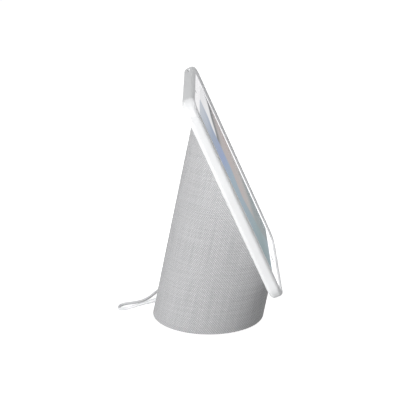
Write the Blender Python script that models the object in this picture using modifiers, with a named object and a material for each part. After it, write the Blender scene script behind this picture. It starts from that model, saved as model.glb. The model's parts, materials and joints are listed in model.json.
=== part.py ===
# Smart speaker: a leaning oval fabric body whose sloping cut carries a tablet in a rounded tray.
# Units are metres, +Z is up. The origin is the centre of the footprint on the table, the screen
# faces -Y and the power cord leaves the back, towards +Y.

import math

import bmesh
import bpy
from mathutils import Matrix, Vector

GAP = 0.0003                      # clearance between pieces that touch
CUTTER_REACH = 0.0100             # how far a cutter passes the face that it goes through
OVERLAP = 0.0005                  # how far joined shapes reach into each other
SMALL_ROUNDING = 0.0006           # edges of cans, terminals and batteries

# Leaning body
BODY_HALF_WIDTH = 0.0560          # X half axis of the oval footprint
BODY_HALF_DEPTH = 0.0650          # Y half axis of the oval footprint
BODY_TAPER = 0.011                # half axis lost for each metre of height
BODY_LEAN = 0.190                 # forward shift for each metre of height
BODY_REACH = 0.300                # height of the uncut column, above the top of the slope
SLEEVE_WALL = 0.0012
SLEEVE_HEM_HEIGHT = 0.0008
TUBE_WALL = 0.0024
SLOT_LOW, SLOT_HIGH, SLOT_WIDTH, SLOT_COUNT = 0.0140, 0.0400, 0.0034, 20
SLOT_FREE_ANGLE = 0.2             # no sound slot within this angle of the cord, in radians
FOOT_THICK = 0.0022
FOOT_INSET = 0.0030
FLOOR_THICK = 0.0030
BODY_SEGMENTS = 64

# Sloping dock: the plane on which the tray's back rests
TILT = math.radians(24.0)         # screen leans back from the vertical
DOCK_Y, DOCK_Z = -0.0205, 0.1646  # middle of the tray's back
DOCK_FACE_DEPTH = 0.0008          # dock plate below the tray's back
DOCK_FACE_THICK = 0.0030
GASKET_THICK = 0.0012
GASKET_INSET = 0.0006
BOARD_WIDTH, BOARD_LENGTH, BOARD_THICK = 0.0440, 0.0780, 0.0016
BOARD_FRONT = -0.0137             # front face of the main board, along the dock's normal
BOARD_RISE = 0.0254               # main board above the middle of the slope
BOSS_RADIUS, BOSS_INSET = 0.0030, 0.0040
PIN_BLOCK_WIDTH, PIN_BLOCK_LENGTH = 0.0260, 0.0080
PIN_BLOCK_FROM_END = 0.0140       # from the board's lower end
PIN_COUNT, PIN_PITCH, PIN_RADIUS = 6, 0.0036, 0.0007
MAGNET_RADIUS, MAGNET_THICK = 0.0070, 0.0030
MAGNET_SPREAD = ((0.0240, -0.0620), (0.0330, 0.0200))   # pairs, from the keeper plate's middle
SHIELD_WIDTH, SHIELD_LENGTH, SHIELD_HIGH = 0.0240, 0.0200, 0.0028
SHIELD_RISE = 0.0140
FIN_COUNT, FIN_PITCH, FIN_THICK = 6, 0.0050, 0.0014
SINK_BASE, SINK_DEPTH, SINK_LENGTH = 0.0020, 0.0080, 0.0240

# Tablet and tray
TABLET_WIDTH, TABLET_LENGTH, TABLET_THICK = 0.1695, 0.2400, 0.0071
TABLET_CORNER = 0.0192
TABLET_EDGE = 0.0015              # rounding of the rear rim
TABLET_WALL = 0.0010
GLASS_THICK = 0.0007
BORDER_SIDE, BORDER_END = 0.01085, 0.02145   # white border from the display to the glass edge
DISPLAY_THICK = 0.0018
BATTERY_WIDTH, BATTERY_LENGTH, BATTERY_Y = 0.1200, 0.1300, -0.0280
BATTERY_ROOM = 0.0007             # between the battery and the display
TABLET_BOARD_WIDTH, TABLET_BOARD_LENGTH, TABLET_BOARD_Y = 0.1200, 0.0400, 0.0620
TABLET_BOARD_THICK = 0.0012
TRAY_WALL = 0.0015
TRAY_FLOOR = 0.0026
TRAY_EDGE = 0.0056                # rounding of the tray's outer rims
LIP_WIDTH = 0.0053
LIP_HEIGHT = 0.0029
KEEPER_THICK, KEEPER_CORNER = 0.0005, 0.0080
KEEPER_WIDTH, KEEPER_LENGTH = 0.1100, 0.1700
KEEPER_END_ROOM = 0.0151          # from the tablet's lower end to the keeper plate
KEY_LENGTH, KEY_HEIGHT, KEY_PROUD = 0.0110, 0.0026, 0.0006
KEY_DEPTH = 0.0018                # depth of a key inside the tablet's wall
KEY_ROUNDING = 0.0003
KEY_ROOM = 0.00035                # between a key and its slot
KEY_RISE = 0.0032                 # middle of the keys above the tablet's back
WINDOW_ROOM = 0.0025              # the tray's finger windows, past the ends of the keys
WINDOW_SIDE_ROOM = 0.0016
VOLUME_UP_FROM_END, VOLUME_SPACING = 0.0320, 0.0160
POWER_KEY_FROM_SIDE = 0.02875
HOME_RADIUS, HOME_DISH_RADIUS, HOME_DEPTH = 0.0054, 0.0044, 0.0026
HOME_SUNK, HOME_DISH_SUNK = 0.0001, 0.0003    # rim and middle of the button below the glass
LENS_RADIUS, LENS_SUNK = 0.0022, 0.0001
CONTACT_WIDTH, CONTACT_LENGTH, CONTACT_THICK = 0.0300, 0.0110, 0.0005

# Loudspeaker
BAFFLE_HEIGHT = 0.0500
BAFFLE_THICK = 0.0040
WOOFER_RADIUS = 0.0360
WOOFER_OPENING = 0.0330
POST_RADIUS = 0.0036
POST_SPREAD = 0.0300
SCREW_RADIUS = 0.00145
SCREW_HEAD_RADIUS = 0.0030
SCREW_HEAD_THICK = 0.0017
SCREW_BORE = 0.00175
SCREW_LENGTH, SCREW_TIP = 0.0120, 0.0008
SOCKET_RADIUS, SOCKET_DEPTH = 0.0012, 0.0009
FLANGE_THICK = 0.0024             # of the woofer's basket, under the baffle
TWEETER_HEIGHT = 0.1000
TWEETER_Y = -0.0120
TWEETER_RADIUS = 0.0120
TWEETER_DEPTH = 0.0120
TWEETER_WINDOW_LIP = 0.0020       # the tube's window is this much smaller than the tweeter
BRACKET_WIDTH = 0.0240
BRACKET_HALF_SPAN = 0.0330
BRACKET_FOOT = 0.0080
BRACKET_TOP = 0.0620
SHEET_METAL = 0.0020
POWER_BOARD_LOW, POWER_BOARD_Y = 0.0090, 0.0300
POWER_BOARD_WIDTH, POWER_BOARD_LENGTH = 0.0440, 0.0320
STUD_RADIUS, STUD_INSET = 0.0022, 0.0030
CAPACITOR_RADIUS, CAPACITOR_HIGH = 0.0050, 0.0130
CAPACITOR_X, CAPACITOR_BACK = 0.0130, 0.0090  # from the power board's middle
TERMINAL_WIDTH, TERMINAL_LENGTH, TERMINAL_HIGH = 0.0120, 0.0080, 0.0090
TERMINAL_FORWARD = 0.0110
MIC_BOARD_WIDTH, MIC_BOARD_HEIGHT, MIC_BOARD_Y = 0.0380, 0.0120, -0.0475

# Power cord
CORD_DIAMETER = 0.0035
CORD_SIDES_RESOLUTION = 2
CORD_STEP = 2.4                   # diameters from one point of the tube to the next
CURVE_STEPS = 12                  # fine points between two points of a route
RELIEF_HEIGHT = 0.0175            # where the strain relief crosses the fabric
RELIEF_DROOP = math.radians(18.0)
RELIEF_LENGTH = 0.0110
RELIEF_NECK, RELIEF_TIP = 0.0025, 0.0021      # radii in the wall and at the cord's end
RELIEF_TAPER_START = 0.0010
SLEEVE_PASSAGE_ROOM, TUBE_PASSAGE_ROOM = 0.0004, 0.0006
RELIEF_FLANGE, RELIEF_FLANGE_THICK = 0.0050, 0.0020
RELIEF_FLANGE_ROOM = 0.0039       # slanting flange behind the wall's inner face
COIL_CENTRE = (0.0920, 0.0080)
COIL_COLUMNS, COIL_LAYERS = 3, 4
COIL_MIDDLE_RADIUS = 0.0200
COIL_PITCH = 0.0036
ADAPTER_CENTRE = (0.1150, -0.0510)
ADAPTER_SIZE = (0.0400, 0.0340, 0.0270)
ADAPTER_ROUNDING = 0.0040
ADAPTER_RELIEF_LENGTH, ADAPTER_RELIEF_RADIUS = 0.0120, 0.0030
BLADE_SIZE = (0.0016, 0.0150, 0.0064)
BLADE_SPACING, BLADE_ROUNDING = 0.0127, 0.0004

# Route of the cord from the strain relief to the coil: out at the back, down to the table,
# round in one turn and along the side of the foot.
CORD_ROUTE = (
    (0.0000, 0.0722, 0.0140), (0.0000, 0.0775, 0.0124), (0.0001, 0.0830, 0.0106),
    (0.0003, 0.0883, 0.0088), (0.0008, 0.0933, 0.0070), (0.0019, 0.0978, 0.0053),
    (0.0039, 0.1017, 0.0038), (0.0070, 0.1045, 0.0026), (0.0110, 0.1059, 0.0019),
    (0.0152, 0.1056, 0.00178), (0.0190, 0.1036, 0.00178), (0.0218, 0.1002, 0.00178),
    (0.0237, 0.0959, 0.00178), (0.0252, 0.0911, 0.00178), (0.0269, 0.0862, 0.00178),
    (0.0293, 0.0815, 0.00178), (0.0327, 0.0772, 0.00178), (0.0371, 0.0735, 0.00178),
    (0.0425, 0.0702, 0.00178), (0.0486, 0.0671, 0.00178), (0.0552, 0.0639, 0.00178),
    (0.0620, 0.0603, 0.00178), (0.0689, 0.0563, 0.00178), (0.0757, 0.0518, 0.00178),
    (0.0826, 0.0469, 0.00178), (0.0900, 0.0413, 0.00178), (0.0974, 0.0352, 0.00178),
)
CORD_TAIL = (
    (0.1157, -0.0064, 0.01255), (0.1156, -0.0100, 0.0127), (0.1154, -0.0138, 0.0130),
    (0.1151, -0.0176, 0.0133), (0.1150, -0.0214, 0.0135),
)

DOCK_NORMAL = Vector((0.0, -math.cos(TILT), math.sin(TILT)))
DOCK_POINT = Vector((0.0, DOCK_Y, DOCK_Z))


# ---------------------------------------------------------------- scene and materials

def clear_scene():
    for thing in list(bpy.data.objects):
        bpy.data.objects.remove(thing)


def new_collection(name):
    collection = bpy.data.collections.new(name)
    bpy.context.scene.collection.children.link(collection)
    return collection


def plain_material(name, colour, roughness, metallic=0.0):
    material = bpy.data.materials.new(name)
    material.use_nodes = True
    shader = material.node_tree.nodes["Principled BSDF"]
    shader.inputs["Base Color"].default_value = (*colour, 1.0)
    shader.inputs["Roughness"].default_value = roughness
    shader.inputs["Metallic"].default_value = metallic
    return material


clear_scene()
PARTS = new_collection("smart_speaker")
CUTTERS = new_collection("cutters")

FABRIC = plain_material("fabric_grey", (0.36, 0.37, 0.38), 0.9)
WHITE_PLASTIC = plain_material("white_plastic", (0.82, 0.83, 0.83), 0.35)
GREY_PLASTIC = plain_material("grey_plastic", (0.30, 0.31, 0.32), 0.5)
BLACK_PLASTIC = plain_material("black_plastic", (0.03, 0.03, 0.035), 0.5)
DARK_RUBBER = plain_material("dark_rubber", (0.05, 0.05, 0.055), 0.8)
CORD_WHITE = plain_material("cord_white", (0.78, 0.79, 0.80), 0.5)
STEEL = plain_material("steel", (0.55, 0.56, 0.58), 0.35, 1.0)
ALUMINIUM = plain_material("aluminium", (0.75, 0.76, 0.78), 0.4, 1.0)
MAGNET = plain_material("magnet_black", (0.08, 0.08, 0.09), 0.45, 0.6)
BOARD = plain_material("board_green", (0.03, 0.18, 0.09), 0.5)
GLASS_WHITE = plain_material("glass_white", (0.88, 0.88, 0.88), 0.05)
SCREEN = plain_material("screen", (0.25, 0.40, 0.50), 0.2)
GOLD = plain_material("contact_gold", (0.85, 0.62, 0.25), 0.3, 1.0)
PAPER = plain_material("cone_paper", (0.10, 0.10, 0.10), 0.8)


# ---------------------------------------------------------------- shape helpers

def place(obj, material=None, parent=None, location=(0, 0, 0), rotation=(0, 0, 0)):
    """Puts a new object in the parts collection, or in the cutters when it has no material."""
    obj.location = location
    obj.rotation_euler = rotation
    obj.parent = parent
    if material is None:
        CUTTERS.objects.link(obj)
        obj.hide_render = True
        obj.display_type = "WIRE"
    else:
        PARTS.objects.link(obj)
        obj.data.materials.append(material)
    return obj


def mesh_object(name, bm, smooth_angle=math.radians(35)):
    mesh = bpy.data.meshes.new(name)
    bm.to_mesh(mesh)
    bm.free()
    mesh.shade_smooth()
    mesh.set_sharp_from_angle(angle=smooth_angle)
    return bpy.data.objects.new(name, mesh)


def box_mesh(low, high):
    """Box from its low corner to its high corner, as a bmesh."""
    bm = bmesh.new()
    bmesh.ops.create_cube(bm, size=1.0)
    low, high = Vector(low), Vector(high)
    for vert in bm.verts:
        vert.co = Vector((low[i] + (vert.co[i] + 0.5) * (high[i] - low[i]) for i in range(3)))
    return bm


def box(name, low, high, rounding=0.0, segments=2):
    bm = box_mesh(low, high)
    if rounding:
        bmesh.ops.bevel(bm, geom=bm.edges[:], offset=rounding, segments=segments,
                        profile=0.5, affect="EDGES")
    return mesh_object(name, bm)


def centred_box(name, width, length, low, high, centre=(0.0, 0.0), **shape):
    x, y = centre
    return box(name, (x - width / 2, y - length / 2, low), (x + width / 2, y + length / 2, high),
               **shape)


def rounded_plate(name, width, length, corner, low, high, rim_low=0.0, rim_high=0.0,
                  centre=(0.0, 0.0), corner_segments=6, rim_segments=4):
    """Plate with round corners in its plane, whose two rims may be rounded as well."""
    x, y = centre
    bm = box_mesh((x - width / 2, y - length / 2, low), (x + width / 2, y + length / 2, high))
    upright = [e for e in bm.edges if abs(e.verts[0].co.z - e.verts[1].co.z) > (high - low) / 2]
    bmesh.ops.bevel(bm, geom=upright, offset=corner, segments=corner_segments,
                    profile=0.5, affect="EDGES")
    for level, rim in ((low, rim_low), (high, rim_high)):
        if rim:
            edges = [e for e in bm.edges if all(abs(v.co.z - level) < 1e-6 for v in e.verts)]
            bmesh.ops.bevel(bm, geom=edges, offset=rim, segments=rim_segments,
                            profile=0.5, affect="EDGES")
    return mesh_object(name, bm)


def disc(name, radius, low, high, segments=24, centre=(0.0, 0.0)):
    bm = bmesh.new()
    bmesh.ops.create_cone(bm, cap_ends=True, segments=segments, radius1=radius, radius2=radius,
                          depth=high - low)
    bmesh.ops.translate(bm, verts=bm.verts, vec=(centre[0], centre[1], (low + high) / 2))
    return mesh_object(name, bm)


def turned(name, profile, steps=32, ring=False):
    """Profile of (radius, height) points turned about Z. It runs from the upper end of the
    axis down the outer side; a ring's profile is closed instead."""
    mesh = bpy.data.meshes.new(name)
    count = len(profile)
    edges = [(i, i + 1) for i in range(count - 1)]
    if ring:
        edges.append((count - 1, 0))
    mesh.from_pydata([(radius, 0.0, height) for radius, height in profile], edges, [])
    obj = bpy.data.objects.new(name, mesh)
    screw = obj.modifiers.new("turn", "SCREW")
    screw.steps = screw.render_steps = steps
    screw.use_merge_vertices = True
    screw.merge_threshold = 0.00001
    screw.use_smooth_shade = True
    return obj


def outline_plate(name, points, thickness):
    """Flat outline in its XY plane, extruded to both sides by half the thickness."""
    curve = bpy.data.curves.new(name, "CURVE")
    curve.dimensions = "2D"
    curve.fill_mode = "BOTH"
    curve.extrude = thickness / 2
    spline = curve.splines.new("POLY")
    spline.points.add(len(points) - 1)
    for point, (x, y) in zip(spline.points, points):
        point.co = (x, y, 0.0, 1.0)
    spline.use_cyclic_u = True
    return bpy.data.objects.new(name, curve)


def boolean(obj, other, operation="DIFFERENCE"):
    modifier = obj.modifiers.new(other.name, "BOOLEAN")
    modifier.operation = operation
    modifier.solver = "EXACT"
    modifier.object = other


def cut(obj, cutter, parent=None, location=(0, 0, 0), rotation=(0, 0, 0)):
    boolean(obj, place(cutter, None, parent, location, rotation))


def join(obj, addition, parent=None, location=(0, 0, 0), rotation=(0, 0, 0)):
    boolean(obj, place(addition, None, parent, location, rotation), "UNION")


def merged(name, meshes):
    """One cutter from several separate meshes that don't touch."""
    bm = bmesh.new()
    for other in meshes:
        bm.from_mesh(other.data)
        bpy.data.objects.remove(other)
    return mesh_object(name, bm)


# ---------------------------------------------------------------- leaning body

def half_axes(height, inset):
    shrink = BODY_TAPER * height + inset
    return BODY_HALF_WIDTH - shrink, BODY_HALF_DEPTH - shrink


def body_middle_y(height):
    return -BODY_LEAN * height


def rear_y(height):
    return body_middle_y(height) + half_axes(height, 0.0)[1]


def slope_cut(bm, offset, keep_below):
    """Cuts a body slice by a plane parallel to the dock, offset along its normal, and closes it."""
    cut_result = bmesh.ops.bisect_plane(
        bm, geom=bm.verts[:] + bm.edges[:] + bm.faces[:], dist=1e-7,
        plane_co=DOCK_POINT + DOCK_NORMAL * offset, plane_no=DOCK_NORMAL,
        clear_outer=keep_below, clear_inner=not keep_below)
    rim = [item for item in cut_result["geom_cut"] if isinstance(item, bmesh.types.BMEdge)]
    bmesh.ops.edgeloop_fill(bm, edges=rim)


def body_slice(name, inset, low, high=BODY_REACH, front=None, back=None):
    """Solid slice of the leaning body, inset from its skin. It lies between two heights and,
    where front and back are given, between two planes parallel to the dock."""
    bm = bmesh.new()
    bmesh.ops.create_cone(bm, cap_ends=True, segments=BODY_SEGMENTS, radius1=1.0, radius2=1.0,
                          depth=1.0)
    for vert in bm.verts:
        height = low if vert.co.z < 0 else high
        wide, deep = half_axes(height, inset)
        vert.co = Vector((vert.co.x * wide, body_middle_y(height) + vert.co.y * deep, height))
    if front is not None:
        slope_cut(bm, front, True)
    if back is not None:
        slope_cut(bm, back, False)
    bmesh.ops.recalc_face_normals(bm, faces=bm.faces)
    return mesh_object(name, bm)


TUBE_INSET = SLEEVE_WALL + GAP
INNER_INSET = TUBE_INSET + TUBE_WALL
FLOOR_LOW = FOOT_THICK + GAP
FLOOR_HIGH = FLOOR_LOW + FLOOR_THICK
GASKET_BACK = -(GAP + GASKET_THICK)
WALL_TOP = GASKET_BACK - GAP
DOCK_BACK = -(DOCK_FACE_DEPTH + DOCK_FACE_THICK)

post_middle_y = body_middle_y(BAFFLE_HEIGHT / 2)
POST_PLACES = [(sx * POST_SPREAD, post_middle_y + sy * POST_SPREAD)
               for sy in (-1, 1) for sx in (-1, 1)]

relief_point = Vector((0.0, rear_y(RELIEF_HEIGHT), RELIEF_HEIGHT))
relief_rotation = (-(math.pi / 2 + RELIEF_DROOP), 0.0, 0.0)
relief_grip = INNER_INSET + RELIEF_FLANGE_ROOM
relief_back = relief_grip + RELIEF_FLANGE_THICK


def relief_passage(name, clearance):
    return disc(name, RELIEF_NECK + clearance, -relief_back, CUTTER_REACH, segments=20)


place(body_slice("foot_pad", FOOT_INSET, 0.0, FOOT_THICK), DARK_RUBBER)

base_plate = place(body_slice("base_plate", TUBE_INSET, FLOOR_LOW, FLOOR_HIGH), GREY_PLASTIC)
for index, (x, y) in enumerate(POST_PLACES, 1):
    cut(base_plate, disc(f"base_bore_{index}", SCREW_BORE, 0.0, FLOOR_HIGH + CUTTER_REACH, 10, (x, y)))
    cut(base_plate, disc(f"base_recess_{index}", SCREW_HEAD_RADIUS + GAP, 0.0,
                         FLOOR_LOW + SCREW_HEAD_THICK + GAP, 14, (x, y)))

sleeve = place(body_slice("fabric_sleeve", 0.0, SLEEVE_HEM_HEIGHT, front=WALL_TOP), FABRIC)
cut(sleeve, body_slice("sleeve_inside", SLEEVE_WALL, -CUTTER_REACH))
cut(sleeve, relief_passage("sleeve_passage", SLEEVE_PASSAGE_ROOM), None, relief_point, relief_rotation)

tube = place(body_slice("grille_tube", TUBE_INSET, FLOOR_HIGH + GAP, front=WALL_TOP), GREY_PLASTIC)
cut(tube, body_slice("tube_inside", INNER_INSET, -CUTTER_REACH))
cut(tube, relief_passage("tube_passage", TUBE_PASSAGE_ROOM), None, relief_point, relief_rotation)


def sound_slots():
    """Upright slots round the chamber below the baffle, left out where the cord comes through."""
    slots = []
    for index in range(SLOT_COUNT):
        angle = 2 * math.pi * index / SLOT_COUNT
        if abs(angle - math.pi / 2) < SLOT_FREE_ANGLE:
            continue
        middle = (SLOT_LOW + SLOT_HIGH) / 2
        wide, deep = half_axes(middle, TUBE_INSET + TUBE_WALL / 2)
        x, y = wide * math.cos(angle), body_middle_y(middle) + deep * math.sin(angle)
        outward = math.atan2(math.sin(angle) / deep, math.cos(angle) / wide)
        slot = box("slot", (-CUTTER_REACH, -SLOT_WIDTH / 2, SLOT_LOW),
                   (CUTTER_REACH, SLOT_WIDTH / 2, SLOT_HIGH))
        slot.data.transform(Matrix.Translation((x, y, 0.0)) @ Matrix.Rotation(outward, 4, "Z"))
        slots.append(slot)
    return merged("sound_slots", slots)


cut(tube, sound_slots())

window_reach = BODY_HALF_WIDTH + CUTTER_REACH
cut(tube, disc("tweeter_windows", TWEETER_RADIUS - TWEETER_WINDOW_LIP, -window_reach, window_reach),
    None, (0.0, TWEETER_Y, TWEETER_HEIGHT), (0.0, math.pi / 2, 0.0))


# ---------------------------------------------------------------- sloping dock

def slope_frame(name):
    """Empty at the middle of the tray's back: local X across, Y up the slope, Z off the dock."""
    empty = bpy.data.objects.new(name, None)
    PARTS.objects.link(empty)
    empty.location = DOCK_POINT
    empty.rotation_euler = (math.pi / 2 - TILT, 0.0, 0.0)
    return empty


dock_frame = slope_frame("dock_frame")


def slope_reach():
    """Distances up the slope at which the plane meets the body's front and rear."""
    reaches = []
    for side in (-1, 1):
        # side * half depth - lean * z = DOCK_Y + (z - DOCK_Z) * tan(TILT)
        fall = BODY_LEAN + side * BODY_TAPER + math.tan(TILT)
        height = (side * BODY_HALF_DEPTH - DOCK_Y + DOCK_Z * math.tan(TILT)) / fall
        reaches.append((height - DOCK_Z) / math.cos(TILT))
    return reaches


slope_low, slope_high = slope_reach()
slope_middle = (slope_low + slope_high) / 2

gasket = place(body_slice("rim_gasket", GASKET_INSET, 0.0, front=-GAP, back=GASKET_BACK),
               DARK_RUBBER)
cut(gasket, body_slice("gasket_inside", INNER_INSET, -CUTTER_REACH))

DOCK_INSET = INNER_INSET + GAP
dock_face = place(body_slice("dock_face", DOCK_INSET, 0.0, front=-DOCK_FACE_DEPTH,
                             back=DOCK_BACK), BLACK_PLASTIC)

board_y = slope_middle + BOARD_RISE
boss_places = [(sx * (BOARD_WIDTH / 2 - BOSS_INSET), board_y + sy * (BOARD_LENGTH / 2 - BOSS_INSET))
               for sx in (-1, 1) for sy in (-1, 1)]
for index, centre in enumerate(boss_places, 1):
    join(dock_face, disc(f"dock_boss_{index}", BOSS_RADIUS, BOARD_FRONT + GAP, DOCK_BACK + OVERLAP,
                         12, centre), dock_frame)

pin_block_y = board_y - BOARD_LENGTH / 2 + PIN_BLOCK_FROM_END
cut(dock_face, centred_box("pin_window", PIN_BLOCK_WIDTH + 2 * GAP, PIN_BLOCK_LENGTH + 2 * GAP,
                           BOARD_FRONT, CUTTER_REACH, (0.0, pin_block_y)), dock_frame)
pin_block = place(centred_box("pin_block", PIN_BLOCK_WIDTH, PIN_BLOCK_LENGTH,
                              BOARD_FRONT + GAP, -DOCK_FACE_DEPTH, (0.0, pin_block_y)),
                  BLACK_PLASTIC, dock_frame)
pins = [disc("pin", PIN_RADIUS, -DOCK_FACE_DEPTH - OVERLAP, -GAP, 8,
             ((index - (PIN_COUNT - 1) / 2) * PIN_PITCH, pin_block_y))
        for index in range(PIN_COUNT)]
join(pin_block, merged("spring_pins", pins), dock_frame)

keeper_middle_y = KEEPER_END_ROOM + (KEEPER_LENGTH - TABLET_LENGTH) / 2
magnet_places = [(sx * x, keeper_middle_y + y) for x, y in MAGNET_SPREAD for sx in (-1, 1)]
for index, centre in enumerate(magnet_places, 1):
    place(disc(f"dock_magnet_{index}", MAGNET_RADIUS, DOCK_BACK - GAP - MAGNET_THICK,
               DOCK_BACK - GAP, 20, centre), MAGNET, dock_frame)

place(centred_box("main_board", BOARD_WIDTH, BOARD_LENGTH, BOARD_FRONT - BOARD_THICK,
                  BOARD_FRONT, (0.0, board_y)), BOARD, dock_frame)
place(centred_box("processor_shield", SHIELD_WIDTH, SHIELD_LENGTH, BOARD_FRONT + GAP,
                  BOARD_FRONT + SHIELD_HIGH, (0.0, board_y + SHIELD_RISE), rounding=SMALL_ROUNDING),
      STEEL, dock_frame)


def comb_outline():
    """Heat sink section: a flat base with upright fins."""
    points = [((FIN_COUNT - 1) / 2 * FIN_PITCH + FIN_THICK / 2, 0.0)]
    for index in reversed(range(FIN_COUNT)):
        x = (index - (FIN_COUNT - 1) / 2) * FIN_PITCH
        points += [(x + FIN_THICK / 2, SINK_DEPTH), (x - FIN_THICK / 2, SINK_DEPTH)]
        if index:
            points += [(x - FIN_THICK / 2, SINK_BASE),
                       (x - FIN_PITCH + FIN_THICK / 2, SINK_BASE)]
    points.append((-(FIN_COUNT - 1) / 2 * FIN_PITCH - FIN_THICK / 2, 0.0))
    return points


place(outline_plate("heat_sink", comb_outline(), SINK_LENGTH), ALUMINIUM, dock_frame,
      (0.0, board_y, BOARD_FRONT - BOARD_THICK - GAP), (-math.pi / 2, 0.0, 0.0))


# ---------------------------------------------------------------- loudspeaker

baffle = place(body_slice("baffle_plate", DOCK_INSET, BAFFLE_HEIGHT,
                          BAFFLE_HEIGHT + BAFFLE_THICK, front=DOCK_BACK - GAP), GREY_PLASTIC)
baffle_top = BAFFLE_HEIGHT + BAFFLE_THICK
cut(baffle, disc("woofer_hole", WOOFER_OPENING, 0.0, baffle_top + CUTTER_REACH, 36,
                 (0.0, post_middle_y)))
for index, (x, y) in enumerate(POST_PLACES, 1):
    cut(baffle, disc(f"baffle_bore_{index}", SCREW_BORE, 0.0, baffle_top + CUTTER_REACH, 10, (x, y)))
    place(turned(f"chassis_post_{index}", [
        (POST_RADIUS, BAFFLE_HEIGHT - GAP), (POST_RADIUS, FLOOR_HIGH + GAP),
        (SCREW_BORE, FLOOR_HIGH + GAP), (SCREW_BORE, BAFFLE_HEIGHT - GAP)], 14, ring=True),
        ALUMINIUM, None, (x, y, 0.0))


def screw(name):
    """Pan-head screw pointing down from z = 0, with a round socket in its head."""
    head, socket = SCREW_HEAD_RADIUS, SCREW_HEAD_THICK - SOCKET_DEPTH
    return turned(name, [(0.0, socket), (SOCKET_RADIUS, socket), (SOCKET_RADIUS, SCREW_HEAD_THICK),
                         (head * 0.75, SCREW_HEAD_THICK), (head, SCREW_HEAD_THICK * 0.6), (head, 0.0),
                         (SCREW_RADIUS, 0.0), (SCREW_RADIUS, SCREW_TIP - SCREW_LENGTH),
                         (SCREW_TIP, -SCREW_LENGTH), (0.0, -SCREW_LENGTH)], 10)


for index, (x, y) in enumerate(POST_PLACES, 1):
    base_seat = FLOOR_LOW + SCREW_HEAD_THICK
    place(screw(f"base_screw_{index}"), STEEL, None, (x, y, base_seat), (math.pi, 0.0, 0.0))
    place(screw(f"baffle_screw_{index}"), STEEL, None, (x, y, baffle_top + GAP))

woofer_place = (0.0, post_middle_y, BAFFLE_HEIGHT)
flange_low = -(GAP + FLANGE_THICK)
place(turned("woofer_basket", [
    (0.0200, 0.0200), (0.0200, 0.0184), (0.0325, 0.0010), (0.0325, -GAP), (WOOFER_RADIUS, -GAP),
    (WOOFER_RADIUS, flange_low), (0.0308, flange_low), (0.0308, 0.0006), (0.0184, 0.0176),
    (0.0120, 0.0180), (0.0120, 0.0200)], 28, ring=True), BLACK_PLASTIC, None, woofer_place)
place(turned("woofer_surround", [
    (0.0354, flange_low - GAP), (0.0354, flange_low - 0.0011), (0.0328, flange_low - 0.0011),
    (0.0319, flange_low - 0.0036), (0.0302, flange_low - 0.0047), (0.0285, flange_low - 0.0036),
    (0.0281, flange_low - 0.0009), (0.0275, flange_low - 0.0009), (0.0275, flange_low - GAP),
    (0.0287, flange_low - GAP), (0.0291, flange_low - 0.0032), (0.0302, flange_low - 0.0040),
    (0.0313, flange_low - 0.0032), (0.0321, flange_low - GAP)], 28, ring=True),
    DARK_RUBBER, None, woofer_place)
place(turned("woofer_magnet", [
    (0.0, 0.0380), (0.0230, 0.0380), (0.0240, 0.0370), (0.0240, 0.0213), (0.0230, 0.0203),
    (0.0106, 0.0203), (0.0106, 0.0340), (0.0087, 0.0340), (0.0087, 0.0203), (0.0, 0.0203)], 24),
    STEEL, None, woofer_place)
place(turned("woofer_cone", [
    (0.0, 0.0050), (0.0060, 0.0063), (0.0092, 0.0088), (0.0092, 0.0240), (0.0098, 0.0240),
    (0.0098, 0.0094), (0.0270, -0.0032), (0.0270, -0.0040), (0.0095, 0.0068), (0.0060, 0.0044),
    (0.0, 0.0032)], 28), PAPER, None, woofer_place)

span, foot = BRACKET_HALF_SPAN, BRACKET_HALF_SPAN + BRACKET_FOOT
place(outline_plate("tweeter_bracket", [
    (-foot, 0.0), (-foot, SHEET_METAL), (-span, SHEET_METAL), (-span, BRACKET_TOP),
    (span, BRACKET_TOP), (span, SHEET_METAL), (foot, SHEET_METAL), (foot, 0.0),
    (span - SHEET_METAL, 0.0), (span - SHEET_METAL, BRACKET_TOP - SHEET_METAL),
    (-span + SHEET_METAL, BRACKET_TOP - SHEET_METAL), (-span + SHEET_METAL, 0.0)][::-1],
    BRACKET_WIDTH), STEEL, None, (0.0, TWEETER_Y, baffle_top + GAP), (math.pi / 2, 0.0, 0.0))
for name, side in (("tweeter_left", -1), ("tweeter_right", 1)):
    place(turned(name, [
        (0.0, TWEETER_DEPTH), (0.0035, TWEETER_DEPTH - 0.0006), (0.0060, TWEETER_DEPTH - 0.0026),
        (0.0065, TWEETER_DEPTH - 0.0026), (0.0110, TWEETER_DEPTH - 0.0018),
        (TWEETER_RADIUS, TWEETER_DEPTH - 0.0020), (TWEETER_RADIUS, TWEETER_DEPTH - 0.0040),
        (0.0092, TWEETER_DEPTH - 0.0046), (0.0092, 0.0), (0.0, 0.0)], 20),
        BLACK_PLASTIC, None, (side * (span + GAP), TWEETER_Y, TWEETER_HEIGHT),
        (0.0, side * math.pi / 2, 0.0))

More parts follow.
